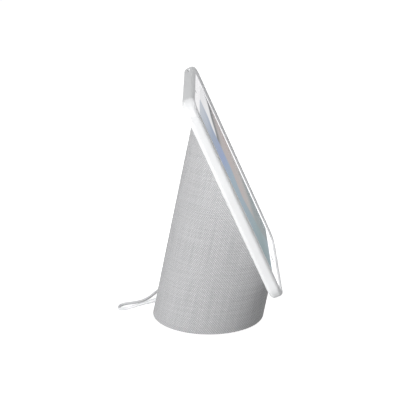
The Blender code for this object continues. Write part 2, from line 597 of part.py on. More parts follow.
for index, (sx, sy) in enumerate(((-1, -1), (1, -1), (-1, 1), (1, 1)), 1):
    stud = (sx * (POWER_BOARD_WIDTH / 2 - STUD_INSET),
            POWER_BOARD_Y + sy * (POWER_BOARD_LENGTH / 2 - STUD_INSET))
    join(base_plate, disc(f"board_stud_{index}", STUD_RADIUS, FLOOR_HIGH - OVERLAP,
                          POWER_BOARD_LOW - GAP, 10, stud))
place(centred_box("power_board", POWER_BOARD_WIDTH, POWER_BOARD_LENGTH, POWER_BOARD_LOW,
                  POWER_BOARD_LOW + BOARD_THICK, (0.0, POWER_BOARD_Y)), BOARD)
part_low = POWER_BOARD_LOW + BOARD_THICK + GAP
for index, side in enumerate((-1, 1), 1):
    place(turned(f"power_capacitor_{index}", [
        (0.0, CAPACITOR_HIGH), (CAPACITOR_RADIUS - SMALL_ROUNDING, CAPACITOR_HIGH),
        (CAPACITOR_RADIUS, CAPACITOR_HIGH - SMALL_ROUNDING), (CAPACITOR_RADIUS, 0.0), (0.0, 0.0)], 18),
        ALUMINIUM, None, (side * CAPACITOR_X, POWER_BOARD_Y - CAPACITOR_BACK, part_low))
place(centred_box("cord_terminal", TERMINAL_WIDTH, TERMINAL_LENGTH, part_low,
                  part_low + TERMINAL_HIGH, (0.0, POWER_BOARD_Y + TERMINAL_FORWARD),
                  rounding=SMALL_ROUNDING), BLACK_PLASTIC)
mic_board_low = FLOOR_HIGH + GAP
place(box("mic_board", (-MIC_BOARD_WIDTH / 2, MIC_BOARD_Y, mic_board_low),
          (MIC_BOARD_WIDTH / 2, MIC_BOARD_Y + BOARD_THICK, mic_board_low + MIC_BOARD_HEIGHT)), BOARD)


# ---------------------------------------------------------------- tablet in its tray

tablet_frame = slope_frame("tablet_frame")

keeper_low = TRAY_FLOOR + GAP
tablet_back_low = keeper_low + KEEPER_THICK + GAP
glass_high = tablet_back_low + TABLET_THICK
glass_low = glass_high - GLASS_THICK
tub_high = glass_low - GAP
lip_low = glass_high + GAP
tray_high = lip_low + LIP_HEIGHT
side_room = TRAY_WALL + GAP
tray_corner = TABLET_CORNER + side_room
tray_width, tray_length = TABLET_WIDTH + 2 * side_room, TABLET_LENGTH + 2 * side_room

tray = place(rounded_plate("tray_shell", tray_width, tray_length, tray_corner, 0.0, tray_high,
                           TRAY_EDGE, TRAY_EDGE), WHITE_PLASTIC, tablet_frame)
cut(tray, rounded_plate("tray_pocket", TABLET_WIDTH + 2 * GAP, TABLET_LENGTH + 2 * GAP,
                        TABLET_CORNER + GAP, TRAY_FLOOR, lip_low), tablet_frame)
cut(tray, rounded_plate("tray_opening", tray_width - 2 * LIP_WIDTH, tray_length - 2 * LIP_WIDTH,
                        tray_corner - LIP_WIDTH, lip_low - OVERLAP, tray_high + CUTTER_REACH),
    tablet_frame)

KEY_MIDDLE = tablet_back_low + KEY_RISE
side_x, top_y = TABLET_WIDTH / 2, TABLET_LENGTH / 2
volume_up_y = top_y - VOLUME_UP_FROM_END
VOLUME_PLACES = {"volume_up_key": volume_up_y, "volume_down_key": volume_up_y - VOLUME_SPACING}
power_key_x = side_x - POWER_KEY_FROM_SIDE
window_half = KEY_HEIGHT / 2 + WINDOW_SIDE_ROOM
volume_middle = sum(VOLUME_PLACES.values()) / len(VOLUME_PLACES)
volume_reach = (VOLUME_SPACING + KEY_LENGTH) / 2 + WINDOW_ROOM
cut(tray, box("volume_window",
              (side_x - OVERLAP, volume_middle - volume_reach, KEY_MIDDLE - window_half),
              (side_x + CUTTER_REACH, volume_middle + volume_reach, KEY_MIDDLE + window_half)),
    tablet_frame)
power_reach = KEY_LENGTH / 2 + WINDOW_ROOM
cut(tray, box("power_window", (power_key_x - power_reach, top_y - OVERLAP, KEY_MIDDLE - window_half),
              (power_key_x + power_reach, top_y + CUTTER_REACH, KEY_MIDDLE + window_half)),
    tablet_frame)

cut(tray, centred_box("contact_pocket", CONTACT_WIDTH + 2 * GAP, CONTACT_LENGTH + 2 * GAP,
                      -CUTTER_REACH, CONTACT_THICK + 2 * GAP, (0.0, pin_block_y)), tablet_frame)
place(centred_box("contact_plate", CONTACT_WIDTH, CONTACT_LENGTH, GAP, GAP + CONTACT_THICK,
                  (0.0, pin_block_y)), GOLD, tablet_frame)
place(rounded_plate("keeper_plate", KEEPER_WIDTH, KEEPER_LENGTH, KEEPER_CORNER, keeper_low,
                    keeper_low + KEEPER_THICK, centre=(0.0, keeper_middle_y), corner_segments=4),
      STEEL, tablet_frame)

tablet_back = place(rounded_plate("tablet_back", TABLET_WIDTH, TABLET_LENGTH, TABLET_CORNER,
                                  tablet_back_low, tub_high, rim_low=TABLET_EDGE, rim_segments=3),
                    ALUMINIUM, tablet_frame)
tub_floor = tablet_back_low + TABLET_WALL
cut(tablet_back, rounded_plate("tablet_inside", TABLET_WIDTH - 2 * TABLET_WALL,
                               TABLET_LENGTH - 2 * TABLET_WALL, TABLET_CORNER - TABLET_WALL,
                               tub_floor, glass_high), tablet_frame)


def key_slot(name, low, high):
    return box(name, [value - KEY_ROOM for value in low], [value + KEY_ROOM for value in high])


KEY_HALF = (KEY_LENGTH / 2, KEY_HEIGHT / 2)
for name, middle in VOLUME_PLACES.items():
    low = (-KEY_DEPTH, -KEY_HALF[0], -KEY_HALF[1])
    high = (KEY_PROUD, KEY_HALF[0], KEY_HALF[1])
    location = (side_x, middle, KEY_MIDDLE)
    place(box(name, low, high, rounding=KEY_ROUNDING, segments=1), ALUMINIUM, tablet_frame, location)
    cut(tablet_back, key_slot(name + "_slot", low, high), tablet_frame, location)
low = (-KEY_HALF[0], -KEY_DEPTH, -KEY_HALF[1])
high = (KEY_HALF[0], KEY_PROUD, KEY_HALF[1])
location = (power_key_x, top_y, KEY_MIDDLE)
place(box("power_key", low, high, rounding=KEY_ROUNDING, segments=1), ALUMINIUM, tablet_frame, location)
cut(tablet_back, key_slot("power_key_slot", low, high), tablet_frame, location)

display_low = tub_high - DISPLAY_THICK
part_back = tub_floor + GAP
place(centred_box("tablet_battery", BATTERY_WIDTH, BATTERY_LENGTH, part_back,
                  display_low - BATTERY_ROOM, (0.0, BATTERY_Y), rounding=SMALL_ROUNDING),
      BLACK_PLASTIC, tablet_frame)
place(centred_box("tablet_board", TABLET_BOARD_WIDTH, TABLET_BOARD_LENGTH, part_back,
                  part_back + TABLET_BOARD_THICK, (0.0, TABLET_BOARD_Y)), BOARD, tablet_frame)
place(centred_box("display_panel", TABLET_WIDTH - 2 * BORDER_SIDE, TABLET_LENGTH - 2 * BORDER_END,
                  display_low, tub_high), SCREEN, tablet_frame)

border_middle = (TABLET_LENGTH - BORDER_END) / 2
glass = place(rounded_plate("cover_glass", TABLET_WIDTH, TABLET_LENGTH, TABLET_CORNER, glass_low,
                            glass_high), GLASS_WHITE, tablet_frame)
cut(glass, disc("home_hole", HOME_RADIUS + GAP, 0.0, tray_high, 32, (0.0, -border_middle)),
    tablet_frame)
cut(glass, disc("lens_hole", LENS_RADIUS + GAP, 0.0, tray_high, 20, (0.0, border_middle)),
    tablet_frame)
place(turned("home_button", [
    (0.0, -HOME_DISH_SUNK), (HOME_DISH_RADIUS, -HOME_SUNK), (HOME_RADIUS, -HOME_SUNK),
    (HOME_RADIUS, -HOME_DEPTH), (0.0, -HOME_DEPTH)], 32),
    WHITE_PLASTIC, tablet_frame, (0.0, -border_middle, glass_high))
place(disc("camera_lens", LENS_RADIUS, glass_low, glass_high - LENS_SUNK, 20,
           (0.0, border_middle)), BLACK_PLASTIC, tablet_frame)


# ---------------------------------------------------------------- power cord, coil and adapter

def smooth_route(points, spacing):
    """Evenly spaced points on a smooth curve through the given ones."""
    points = [Vector(point) for point in points]
    padded = [2 * points[0] - points[1]] + points + [2 * points[-1] - points[-2]]
    fine = []
    for before, start, end, after in zip(padded, padded[1:], padded[2:], padded[3:]):
        for step in range(CURVE_STEPS):
            t = step / CURVE_STEPS
            fine.append(0.5 * (2 * start + (end - before) * t
                               + (2 * before - 5 * start + 4 * end - after) * t ** 2
                               + (3 * start - before - 3 * end + after) * t ** 3))
    fine.append(points[-1])
    lengths = [0.0]
    for start, end in zip(fine, fine[1:]):
        lengths.append(lengths[-1] + (end - start).length)
    count = max(2, round(lengths[-1] / spacing))
    route, index = [], 0
    for step in range(count + 1):
        target = lengths[-1] * step / count
        while index < len(fine) - 2 and lengths[index + 1] < target:
            index += 1
        share = (target - lengths[index]) / (lengths[index + 1] - lengths[index])
        route.append(fine[index].lerp(fine[index + 1], share))
    return route


def cord_tube(name, points):
    curve = bpy.data.curves.new(name, "CURVE")
    curve.dimensions = "3D"
    curve.bevel_depth = CORD_DIAMETER / 2
    curve.bevel_resolution = CORD_SIDES_RESOLUTION
    curve.use_fill_caps = True
    spline = curve.splines.new("POLY")
    route = smooth_route(points, CORD_STEP * CORD_DIAMETER)
    spline.points.add(len(route) - 1)
    for point, position in zip(spline.points, route):
        point.co = (*position, 1.0)
    place(bpy.data.objects.new(name, curve), CORD_WHITE)


place(turned("strain_relief", [
    (0.0, RELIEF_LENGTH), (RELIEF_TIP, RELIEF_LENGTH), (RELIEF_NECK, RELIEF_TAPER_START),
    (RELIEF_NECK, -relief_grip), (RELIEF_FLANGE, -relief_grip), (RELIEF_FLANGE, -relief_back),
    (0.0, -relief_back)], 20),
    CORD_WHITE, None, relief_point, relief_rotation)

cord_tube("power_cord", CORD_ROUTE)
cord_tube("power_cord_tail", CORD_TAIL)

coil_half = (COIL_COLUMNS - 1) / 2 * COIL_PITCH + CORD_DIAMETER / 2
coil_inner, coil_outer = COIL_MIDDLE_RADIUS - coil_half, COIL_MIDDLE_RADIUS + coil_half
coil_top = (COIL_LAYERS - 1) * COIL_PITCH + CORD_DIAMETER
easing = CORD_DIAMETER / 3
place(turned("cord_coil", [
    (coil_outer - easing, coil_top), (coil_outer, coil_top - easing), (coil_outer, easing),
    (coil_outer - easing, 0.0), (coil_inner + easing, 0.0), (coil_inner, easing),
    (coil_inner, coil_top - easing), (coil_inner + easing, coil_top)], 32, ring=True),
    CORD_WHITE, None, (*COIL_CENTRE, 0.0))

adapter_x, adapter_y = ADAPTER_CENTRE
adapter_wide, adapter_long, adapter_high = ADAPTER_SIZE
place(box("adapter_shell", (adapter_x - adapter_wide / 2, adapter_y - adapter_long / 2, 0.0),
          (adapter_x + adapter_wide / 2, adapter_y + adapter_long / 2, adapter_high),
          rounding=ADAPTER_ROUNDING, segments=3), WHITE_PLASTIC)
tail_height = CORD_TAIL[-1][2]
place(turned("adapter_relief", [
    (0.0, ADAPTER_RELIEF_LENGTH), (RELIEF_TIP, ADAPTER_RELIEF_LENGTH), (ADAPTER_RELIEF_RADIUS, 0.0),
    (0.0, 0.0)], 20),
    CORD_WHITE, None, (adapter_x, adapter_y + adapter_long / 2 + GAP, tail_height),
    (-math.pi / 2, 0.0, 0.0))
blade_high = adapter_y - adapter_long / 2 - GAP
for index, side in enumerate((-1, 1), 1):
    blade_x = adapter_x + side * BLADE_SPACING / 2
    place(box(f"adapter_blade_{index}",
              (blade_x - BLADE_SIZE[0] / 2, blade_high - BLADE_SIZE[1],
               adapter_high / 2 - BLADE_SIZE[2] / 2),
              (blade_x + BLADE_SIZE[0] / 2, blade_high, adapter_high / 2 + BLADE_SIZE[2] / 2),
              rounding=BLADE_ROUNDING, segments=1), STEEL)
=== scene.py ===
import json
import math

import bmesh
import bpy
from mathutils import Matrix, Vector


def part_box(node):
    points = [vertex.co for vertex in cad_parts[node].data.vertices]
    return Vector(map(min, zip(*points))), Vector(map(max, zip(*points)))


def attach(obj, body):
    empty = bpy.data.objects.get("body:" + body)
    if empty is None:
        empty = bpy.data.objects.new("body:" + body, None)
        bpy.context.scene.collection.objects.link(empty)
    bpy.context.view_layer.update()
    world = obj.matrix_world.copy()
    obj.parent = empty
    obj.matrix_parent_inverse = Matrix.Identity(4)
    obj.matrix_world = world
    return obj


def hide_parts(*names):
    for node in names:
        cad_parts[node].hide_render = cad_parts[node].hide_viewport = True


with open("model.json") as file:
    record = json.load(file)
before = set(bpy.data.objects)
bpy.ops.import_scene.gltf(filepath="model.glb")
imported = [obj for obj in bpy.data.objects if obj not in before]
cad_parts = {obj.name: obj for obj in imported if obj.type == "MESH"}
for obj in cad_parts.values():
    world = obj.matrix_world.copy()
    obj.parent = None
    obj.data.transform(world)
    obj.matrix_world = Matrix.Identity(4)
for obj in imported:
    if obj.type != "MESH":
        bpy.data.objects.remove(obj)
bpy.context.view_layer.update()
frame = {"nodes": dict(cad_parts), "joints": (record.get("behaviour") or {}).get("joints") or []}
print("frame loaded:", len(frame["nodes"]), "nodes")

# the leaning oval body, in metres: half axes at the table, then the narrowing and the forward lean
# for each metre of height
body = {"halfWidth": 0.0560, "halfDepth": 0.0650, "taper": 0.011, "lean": 0.190}


def bodyPoint(angle, height, inset=0.0):
    shrink = body["taper"] * height + inset
    return Vector(((body["halfWidth"] - shrink) * math.cos(angle),
                   -body["lean"] * height + (body["halfDepth"] - shrink) * math.sin(angle),
                   height))


# the sloping front: X runs across, Y up the slope and Z off it, from the middle of the tray's back
liftJoint = next(joint for joint in frame["joints"] if joint["name"] == "tablet_lift")
slopeAcross = Vector((1, 0, 0))
slopeOut = Vector(liftJoint["axis"]).normalized()
slopeUp = slopeOut.cross(slopeAcross)
trayLow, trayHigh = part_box("tray_shell")
trayMiddle = (trayLow + trayHigh) / 2
trayDepths = [slopeOut.dot(point.co) for point in frame["nodes"]["tray_shell"].data.vertices]
slopeStart = trayMiddle + slopeOut * (min(trayDepths) - slopeOut.dot(trayMiddle))
onSlope = Matrix.Translation(slopeStart) @ Matrix((slopeAcross, slopeUp, slopeOut)).transposed().to_4x4()
offSlope = onSlope.inverted()
slopeAngle = onSlope.to_euler().x


def slopeBox(node):
    # a node's lowest and highest corner, measured along the slope
    points = [offSlope @ point.co for point in frame["nodes"][node].data.vertices]
    return [Vector(choose(point[axis] for point in points) for axis in range(3))
            for choose in (min, max)]


# small tools for modelling by hand

def addPiece(name, primitive, **settings):
    bpy.ops.object.select_all(action="DESELECT")
    primitive(**settings)
    piece = bpy.context.active_object
    piece.name = name
    bpy.ops.object.transform_apply(location=True, rotation=True, scale=True)
    return piece


def choosePiece(piece):
    bpy.ops.object.select_all(action="DESELECT")
    piece.select_set(True)
    bpy.context.view_layer.objects.active = piece


def startEdit(piece):
    choosePiece(piece)
    bpy.ops.object.mode_set(mode="EDIT")
    bpy.ops.mesh.select_all(action="DESELECT")


def endEdit():
    bpy.ops.object.mode_set(mode="OBJECT")


def pick(piece, kind, test):
    # in edit mode: selects the points, edges or faces that pass the test, and nothing else
    bpy.ops.mesh.select_mode(type=kind)
    bpy.ops.mesh.select_all(action="DESELECT")
    shape = bmesh.from_edit_mesh(piece.data)
    for item in {"VERT": shape.verts, "EDGE": shape.edges, "FACE": shape.faces}[kind]:
        if test(item):
            item.select_set(True)
    bmesh.update_edit_mesh(piece.data)


def edgeAt(height, near=1e-6):
    return lambda edge: all(abs(point.co.z - height) < near for point in edge.verts)


def edgeDirection(edge):
    return (edge.verts[0].co - edge.verts[1].co).normalized()


def isUpright(edge):
    return abs(edgeDirection(edge).z) > 0.99


def runsAlongY(edge):
    return abs(edgeDirection(edge).y) > 0.9


def applyModifier(piece, kind, **settings):
    choosePiece(piece)
    modifier = piece.modifiers.new(kind.lower(), kind)
    for name, value in settings.items():
        setattr(modifier, name, value)
    bpy.ops.object.modifier_apply(modifier=modifier.name)


def cutWith(piece, cutter):
    applyModifier(piece, "BOOLEAN", operation="DIFFERENCE", solver="EXACT", object=cutter)
    bpy.data.objects.remove(cutter)


def smoothPiece(piece, degrees=40, weighted=True):
    choosePiece(piece)
    bpy.ops.object.shade_smooth_by_angle(angle=math.radians(degrees))
    if weighted:
        applyModifier(piece, "WEIGHTED_NORMAL", keep_sharp=True, weight=80)


def place(piece, matrix):
    choosePiece(piece)
    piece.matrix_world = matrix
    bpy.ops.object.transform_apply(location=True, rotation=True, scale=True)


def dress(piece, bodyName, slotName, material, *nodes):
    piece.data.materials.clear()
    piece.data.materials.append(material)
    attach(piece, bodyName)
    if nodes:
        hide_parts(*nodes)
    return piece


def roundedPlate(name, width, length, corner, low, high, cornerSteps=20):
    plate = addPiece(name, bpy.ops.mesh.primitive_cube_add, size=1, scale=(width, length, high - low),
                     location=(0, 0, (low + high) / 2))
    startEdit(plate)
    pick(plate, "EDGE", isUpright)
    bpy.ops.mesh.bevel(offset=corner, segments=cornerSteps, affect="EDGES")
    endEdit()
    return plate


def roundRim(plate, height, radius, steps=8):
    startEdit(plate)
    pick(plate, "EDGE", edgeAt(height))
    bpy.ops.mesh.bevel(offset=radius, segments=steps, affect="EDGES")
    endEdit()


def turnedPiece(name, rings, sides=40):
    # rings are (radius, height) from the lower face to the upper one, each extruded from the last
    radius, height = rings[0]
    piece = addPiece(name, bpy.ops.mesh.primitive_circle_add, vertices=sides, radius=radius,
                     fill_type="NGON", location=(0, 0, height))
    startEdit(piece)
    bpy.ops.mesh.select_all(action="SELECT")
    for nextRadius, nextHeight in rings[1:]:
        bpy.ops.mesh.extrude_region_move(
            TRANSFORM_OT_translate={"value": (0, 0, nextHeight - height)})
        growth = nextRadius / radius
        bpy.ops.transform.resize(value=(growth, growth, 1), center_override=(0, 0, nextHeight))
        radius, height = nextRadius, nextHeight
    bpy.ops.mesh.select_all(action="SELECT")
    bpy.ops.mesh.normals_make_consistent(inside=False)
    endEdit()
    return piece


def along(start, direction):
    # places a piece so that its Z axis leaves the start along the direction
    return Matrix.Translation(start) @ Vector(direction).to_track_quat("Z", "Y").to_matrix().to_4x4()


# materials: sums on a Wire add Math nodes, and Finish.node adds any other node

class Wire:
    def __init__(self, finish, socket):
        self.finish, self.socket = finish, socket

    def maths(self, operation, first, second=0.0):
        return self.finish.node("Math", {"operation": operation}, {0: first, 1: second})

    def __add__(self, other):
        return self.maths("ADD", self, other)

    def __radd__(self, other):
        return self.maths("ADD", other, self)

    def __sub__(self, other):
        return self.maths("SUBTRACT", self, other)

    def __rsub__(self, other):
        return self.maths("SUBTRACT", other, self)

    def __mul__(self, other):
        return self.maths("MULTIPLY", self, other)

    def __rmul__(self, other):
        return self.maths("MULTIPLY", other, self)

    def __truediv__(self, other):
        return self.maths("DIVIDE", self, other)

    def __pow__(self, other):
        return self.maths("POWER", self, other)

    def __abs__(self):
        return self.maths("ABSOLUTE", self)

    def sine(self):
        return self.maths("SINE", self)

    def sign(self):
        return self.maths("SIGN", self)

    def largest(self, other):
        return self.maths("MAXIMUM", self, other)

    def over(self, other):
        return self.maths("GREATER_THAN", self, other)

    def eased(self, low, high, start=0.0, end=1.0):
        # from start below low to end above high, with a soft change between
        return self.finish.node("MapRange", {"interpolation_type": "SMOOTHSTEP"},
                                {0: self, 1: low, 2: high, 3: start, 4: end})


class Finish:
    def __init__(self, name, **constants):
        self.material = bpy.data.materials.new(name)
        self.material.use_nodes = True
        self.tree = self.material.node_tree
        self.shader = self.tree.nodes["Principled BSDF"]
        for socket, value in constants.items():
            self.shader.inputs[socket.replace("_", " ")].default_value = value

    def feed(self, socket, value):
        if isinstance(value, Wire):
            self.tree.links.new(value.socket, socket)
        else:
            socket.default_value = value

    def node(self, kind, settings=None, sockets=None, output=0):
        made = self.tree.nodes.new("ShaderNode" + kind)
        for name, value in (settings or {}).items():
            if name == "stops":
                ramp = made.color_ramp.elements
                while len(ramp) < len(value):
                    ramp.new(0.5)
                for element, (position, colour) in zip(ramp, value):
                    element.position = position
                    element.color = (*colour, 1)
            else:
                setattr(made, name, value)
        for name, value in (sockets or {}).items():
            self.feed(made.inputs[name], value)
        return Wire(self, made.outputs[output])

    def place(self, turn=(0, 0, 0), start=(0, 0, 0)):
        # object coordinates, turned and moved for the pattern
        coordinates = self.node("TexCoord", output="Object")
        return self.node("Mapping", {"vector_type": "TEXTURE"},
                         {"Vector": coordinates, "Rotation": turn, "Location": start})

    def parts(self, vector):
        split = self.node("SeparateXYZ", sockets={"Vector": vector})
        outputs = split.socket.node.outputs
        return [Wire(self, outputs[axis]) for axis in range(3)]

    def stretched(self, vector, scale):
        return self.node("VectorMath", {"operation": "MULTIPLY"}, {0: vector, 1: scale})

    def noise(self, vector, scale, detail=3.0, roughness=0.55):
        return self.node("TexNoise", {}, {"Vector": vector, "Scale": scale, "Detail": detail,
                                          "Roughness": roughness})

    def ramp(self, factor, *stops):
        return self.node("ValToRGB", {"stops": stops}, {"Fac": factor})

    def blend(self, factor, first, second):
        first, second = [colour if isinstance(colour, Wire) else (*colour, 1)
                         for colour in (first, second)]
        return self.node("Mix", {"data_type": "RGBA"}, {0: factor, 6: first, 7: second}, output=2)

    def relief(self, height, distance, strength=1.0):
        bump = self.node("Bump", {}, {"Height": height, "Distance": distance,
                                      "Strength": strength})
        self.feed(self.shader.inputs["Normal"], bump)

    def set(self, **links):
        for socket, value in links.items():
            self.feed(self.shader.inputs[socket.replace("_", " ")], value)
        return self.material


# woven cover: a plain weave whose threads are counted round the body and up it; its gap colour is
# painted shade, darkening each thread's flanks down to the gaps between threads
weave = {"warpCount": 314, "weftPitch": 0.00142, "paintedGapShade": (0.10, 0.10, 0.105),
         "warp": (0.77, 0.77, 0.775), "warpFleck": (0.575, 0.575, 0.585),
         "weft": (0.50, 0.50, 0.51), "weftFleck": (0.33, 0.33, 0.34)}


def wovenCloth():
    finish = Finish("woven_cloth", Sheen_Weight=0.25, Sheen_Roughness=0.5, Specular_IOR_Level=0.2)
    threads = finish.node("UVMap", {"uv_map": "threads"})
    warp, weft, _ = finish.parts(threads)
    warpWave, weftWave = (warp * math.pi).sine(), (weft * math.pi).sine()
    warpHeight = abs(warpWave) * (0.5 + 0.5 * warpWave.sign() * weftWave)
    weftHeight = abs(weftWave) * (0.5 - 0.5 * weftWave.sign() * warpWave)
    warpOnTop = warpHeight.over(weftHeight)
    height = warpHeight.largest(weftHeight)
    # fibres run along whichever thread is on top
    warpFibre = finish.noise(finish.stretched(threads, (5.0, 0.6, 1)), 2.0)
    weftFibre = finish.noise(finish.stretched(threads, (0.6, 5.0, 1)), 2.0)
    fibre = warpOnTop * warpFibre + (1 - warpOnTop) * weftFibre
    warpTint = finish.noise(finish.stretched(threads, (0.9, 0.02, 1)), 1.0, 1.0)
    weftTint = finish.noise(finish.stretched(threads, (0.02, 0.9, 1)), 1.0, 1.0)
    tint = warpOnTop * warpTint + (1 - warpOnTop) * weftTint
    streak = (fibre * 0.6 + tint * 0.8).eased(0.45, 0.95)
    yarn = finish.blend(warpOnTop, finish.blend(streak, weave["weftFleck"], weave["weft"]),
                        finish.blend(streak, weave["warpFleck"], weave["warp"]))
    # painted shade: the yarn colour darkens where the thread height falls, down to the near-black gap
    # colour between threads
    colour = finish.blend(height.eased(0.05, 0.6), weave["paintedGapShade"], yarn)
    finish.relief(height + fibre * 0.15, 0.0005, 0.7)
    return finish.set(Base_Color=colour, Roughness=height.eased(0, 1, 0.95, 0.8))


def mapThreads(piece):
    layer = piece.data.uv_layers.new(name="threads")
    for face in piece.data.polygons:
        firstTurn = None
        for corner in face.loop_indices:
            point = piece.data.vertices[piece.data.loops[corner].vertex_index].co
            shrink = body["taper"] * point.z
            turn = math.atan2((point.y + body["lean"] * point.z) / (body["halfDepth"] - shrink),
                              point.x / (body["halfWidth"] - shrink)) / (2 * math.pi)
            if firstTurn is None:
                firstTurn = turn
            turn -= round(turn - firstTurn)
            layer.data[corner].uv = (turn * weave["warpCount"], point.z / weave["weftPitch"])


sleeve = {"around": 160, "rows": 90, "wall": 0.0012, "hemLow": 0.0008, "topDepth": -0.0018,
          "edgeRound": 0.0004, "holeRadius": 0.0029, "start": 0.0020, "reach": 0.300,
          "cutShare": 0.62}
hemTurn = [(0.0001, 0.0015), (0.0005, 0.00105), (0.0010, sleeve["hemLow"]),
           (0.0026, sleeve["hemLow"])]  # the hem turns in under the base: inset and height


def makeSleeve(material):
    piece = addPiece("woven_sleeve", bpy.ops.mesh.primitive_cylinder_add, vertices=sleeve["around"],
                     radius=1, depth=1, end_fill_type="NOTHING", location=(0, 0, 0.5))
    startEdit(piece)
    pick(piece, "EDGE", isUpright)
    bpy.ops.mesh.subdivide(number_cuts=sleeve["rows"])
    endEdit()
    for point in piece.data.vertices:
        height = sleeve["start"] + point.co.z * (sleeve["reach"] - sleeve["start"])
        point.co = bodyPoint(math.atan2(point.co.y, point.co.x), height)
    startEdit(piece)
    bpy.ops.mesh.select_all(action="SELECT")
    bpy.ops.mesh.bisect(plane_co=slopeStart + slopeOut * sleeve["topDepth"], plane_no=slopeOut,
                        clear_outer=True)
    pick(piece, "EDGE", edgeAt(sleeve["start"]))
    inset, height = 0.0, sleeve["start"]
    for nextInset, nextHeight in hemTurn:
        bpy.ops.mesh.extrude_edges_move(
            TRANSFORM_OT_translate={"value": (0, 0, nextHeight - height)})
        shares = [(half - nextInset) / (half - inset)
                  for half in (body["halfWidth"], body["halfDepth"])]
        bpy.ops.transform.resize(value=(*shares, 1), center_override=(0, 0, nextHeight))
        inset, height = nextInset, nextHeight
    bpy.ops.mesh.select_all(action="SELECT")
    bpy.ops.mesh.normals_make_consistent(inside=False)
    endEdit()
    applyModifier(piece, "SOLIDIFY", thickness=sleeve["wall"], offset=-1.0)
    applyModifier(piece, "BEVEL", width=sleeve["edgeRound"], segments=2, limit_method="ANGLE",
                  angle_limit=math.radians(55))
    cutter = addPiece("relief_hole", bpy.ops.mesh.primitive_cylinder_add, vertices=40,
                      radius=sleeve["holeRadius"], depth=0.02)
    place(cutter, along(reliefStart, reliefAlong))
    cutWith(piece, cutter)
    mapThreads(piece)
    smoothPiece(piece, 45, weighted=False)
    dress(piece, "speaker", "fabric", material, "fabric_sleeve")


# strain relief: its axis leaves the rear skin and droops
relief = {"height": 0.0175, "droop": math.radians(18), "length": 0.0110, "neck": 0.0025,
          "tip": 0.0021, "flange": 0.0050, "grip": 0.0078, "flangeThick": 0.0020, "ribs": 4,
          "ribStart": 0.0012, "widest": 0.0026, "groove": 0.00045}
reliefStart = bodyPoint(math.pi / 2, relief["height"])
reliefAlong = Vector((0, math.cos(relief["droop"]), -math.sin(relief["droop"])))


def ribbedTaper(start, end, widest, thinnest, ribs, groove):
    # ring profile of a bend relief: it narrows in steps, with a groove before each rib
    rings = []
    for rib in range(ribs):
        low, high = (start + (end - start) * (rib + share) / ribs for share in (0, 1))
        outer = widest + (thinnest - widest) * rib / ribs
        inner = outer - groove
        rings += [(inner, low), (outer, low + (high - low) * 0.18), (outer, low + (high - low) * 0.62),
                  (inner, low + (high - low) * 0.80)]
    return rings + [(thinnest, end - groove * 0.5), (thinnest - groove * 0.4, end)]


def makeRelief(material):
    rings = [(relief["flange"], -relief["grip"] - relief["flangeThick"]),
             (relief["flange"], -relief["grip"]), (relief["neck"], -relief["grip"] + 0.0003),
             (relief["neck"], 0.0008)]
    rings += ribbedTaper(relief["ribStart"], relief["length"], relief["widest"], relief["tip"],
                         relief["ribs"], relief["groove"])
    piece = turnedPiece("ribbed_relief", rings)
    place(piece, along(reliefStart, reliefAlong))
    smoothPiece(piece, 50, weighted=False)
    dress(piece, "speaker", "cord_white", material, "strain_relief")


# power cord: the route lies as in the model, then the spare length is wound up and runs to the adapter
cord = {
    "diameter": 0.0035, "lift": 0.0005, "pitch": 0.0036, "coilMiddle": (0.0920, 0.0080),
    "middleRadius": 0.0200, "columns": 3, "layers": 4, "arrival": math.radians(47.4),
    "turnPoints": 18,
    "route": [
        (0.0000, 0.0722, 0.0140), (0.0000, 0.0775, 0.0124), (0.0001, 0.0830, 0.0106),
        (0.0003, 0.0883, 0.0088), (0.0008, 0.0933, 0.0070), (0.0019, 0.0978, 0.0053),
        (0.0039, 0.1017, 0.0038), (0.0070, 0.1045, 0.0026), (0.0110, 0.1059, 0.0019),
        (0.0152, 0.1056, 0.00178), (0.0190, 0.1036, 0.00178), (0.0218, 0.1002, 0.00178),
        (0.0237, 0.0959, 0.00178), (0.0252, 0.0911, 0.00178), (0.0269, 0.0862, 0.00178),
        (0.0293, 0.0815, 0.00178), (0.0327, 0.0772, 0.00178), (0.0371, 0.0735, 0.00178),
        (0.0425, 0.0702, 0.00178), (0.0486, 0.0671, 0.00178), (0.0552, 0.0639, 0.00178),
        (0.0620, 0.0603, 0.00178), (0.0689, 0.0563, 0.00178), (0.0757, 0.0518, 0.00178),
        (0.0826, 0.0469, 0.00178), (0.0900, 0.0413, 0.00178), (0.0974, 0.0352, 0.00178)],
    "tail": [
        (0.1157, -0.0064, 0.01255), (0.1156, -0.0100, 0.0127), (0.1154, -0.0138, 0.0130),
        (0.1151, -0.0176, 0.0133), (0.1150, -0.0214, 0.0135)],
}


def eased(share):
    share = min(1.0, max(0.0, share))
    return share * share * (3 - 2 * share)


def coilPoints():
    # the turns fill the layers in and out by turns; near the end of each turn the cord first
    # moves one column over and then, at the last column, climbs to the next layer
    columns = [(cord["columns"] - 1) / 2 - column for column in range(cord["columns"])]
    turns = []
    for layer in range(cord["layers"]):
        for offset in columns if layer % 2 == 0 else columns[::-1]:
            turns.append((cord["middleRadius"] + offset * cord["pitch"],
                          cord["lift"] + cord["diameter"] / 2 + layer * cord["pitch"]))
    total = len(turns) - 1 + cord["arrival"] / (2 * math.pi)
    count = round(total * cord["turnPoints"])
    points = []
    for step in range(count + 1):
        along = total * step / count
        turn = min(int(along), len(turns) - 1)
        now, after = turns[turn], turns[min(turn + 1, len(turns) - 1)]
        share = along - turn
        radius = now[0] + (after[0] - now[0]) * eased((share - 0.78) / 0.11)
        height = now[1] + (after[1] - now[1]) * eased((share - 0.89) / 0.11)
        angle = cord["arrival"] - along * 2 * math.pi
        points.append(Vector((cord["coilMiddle"][0] + radius * math.cos(angle),
                              cord["coilMiddle"][1] + radius * math.sin(angle), height)))
    return points


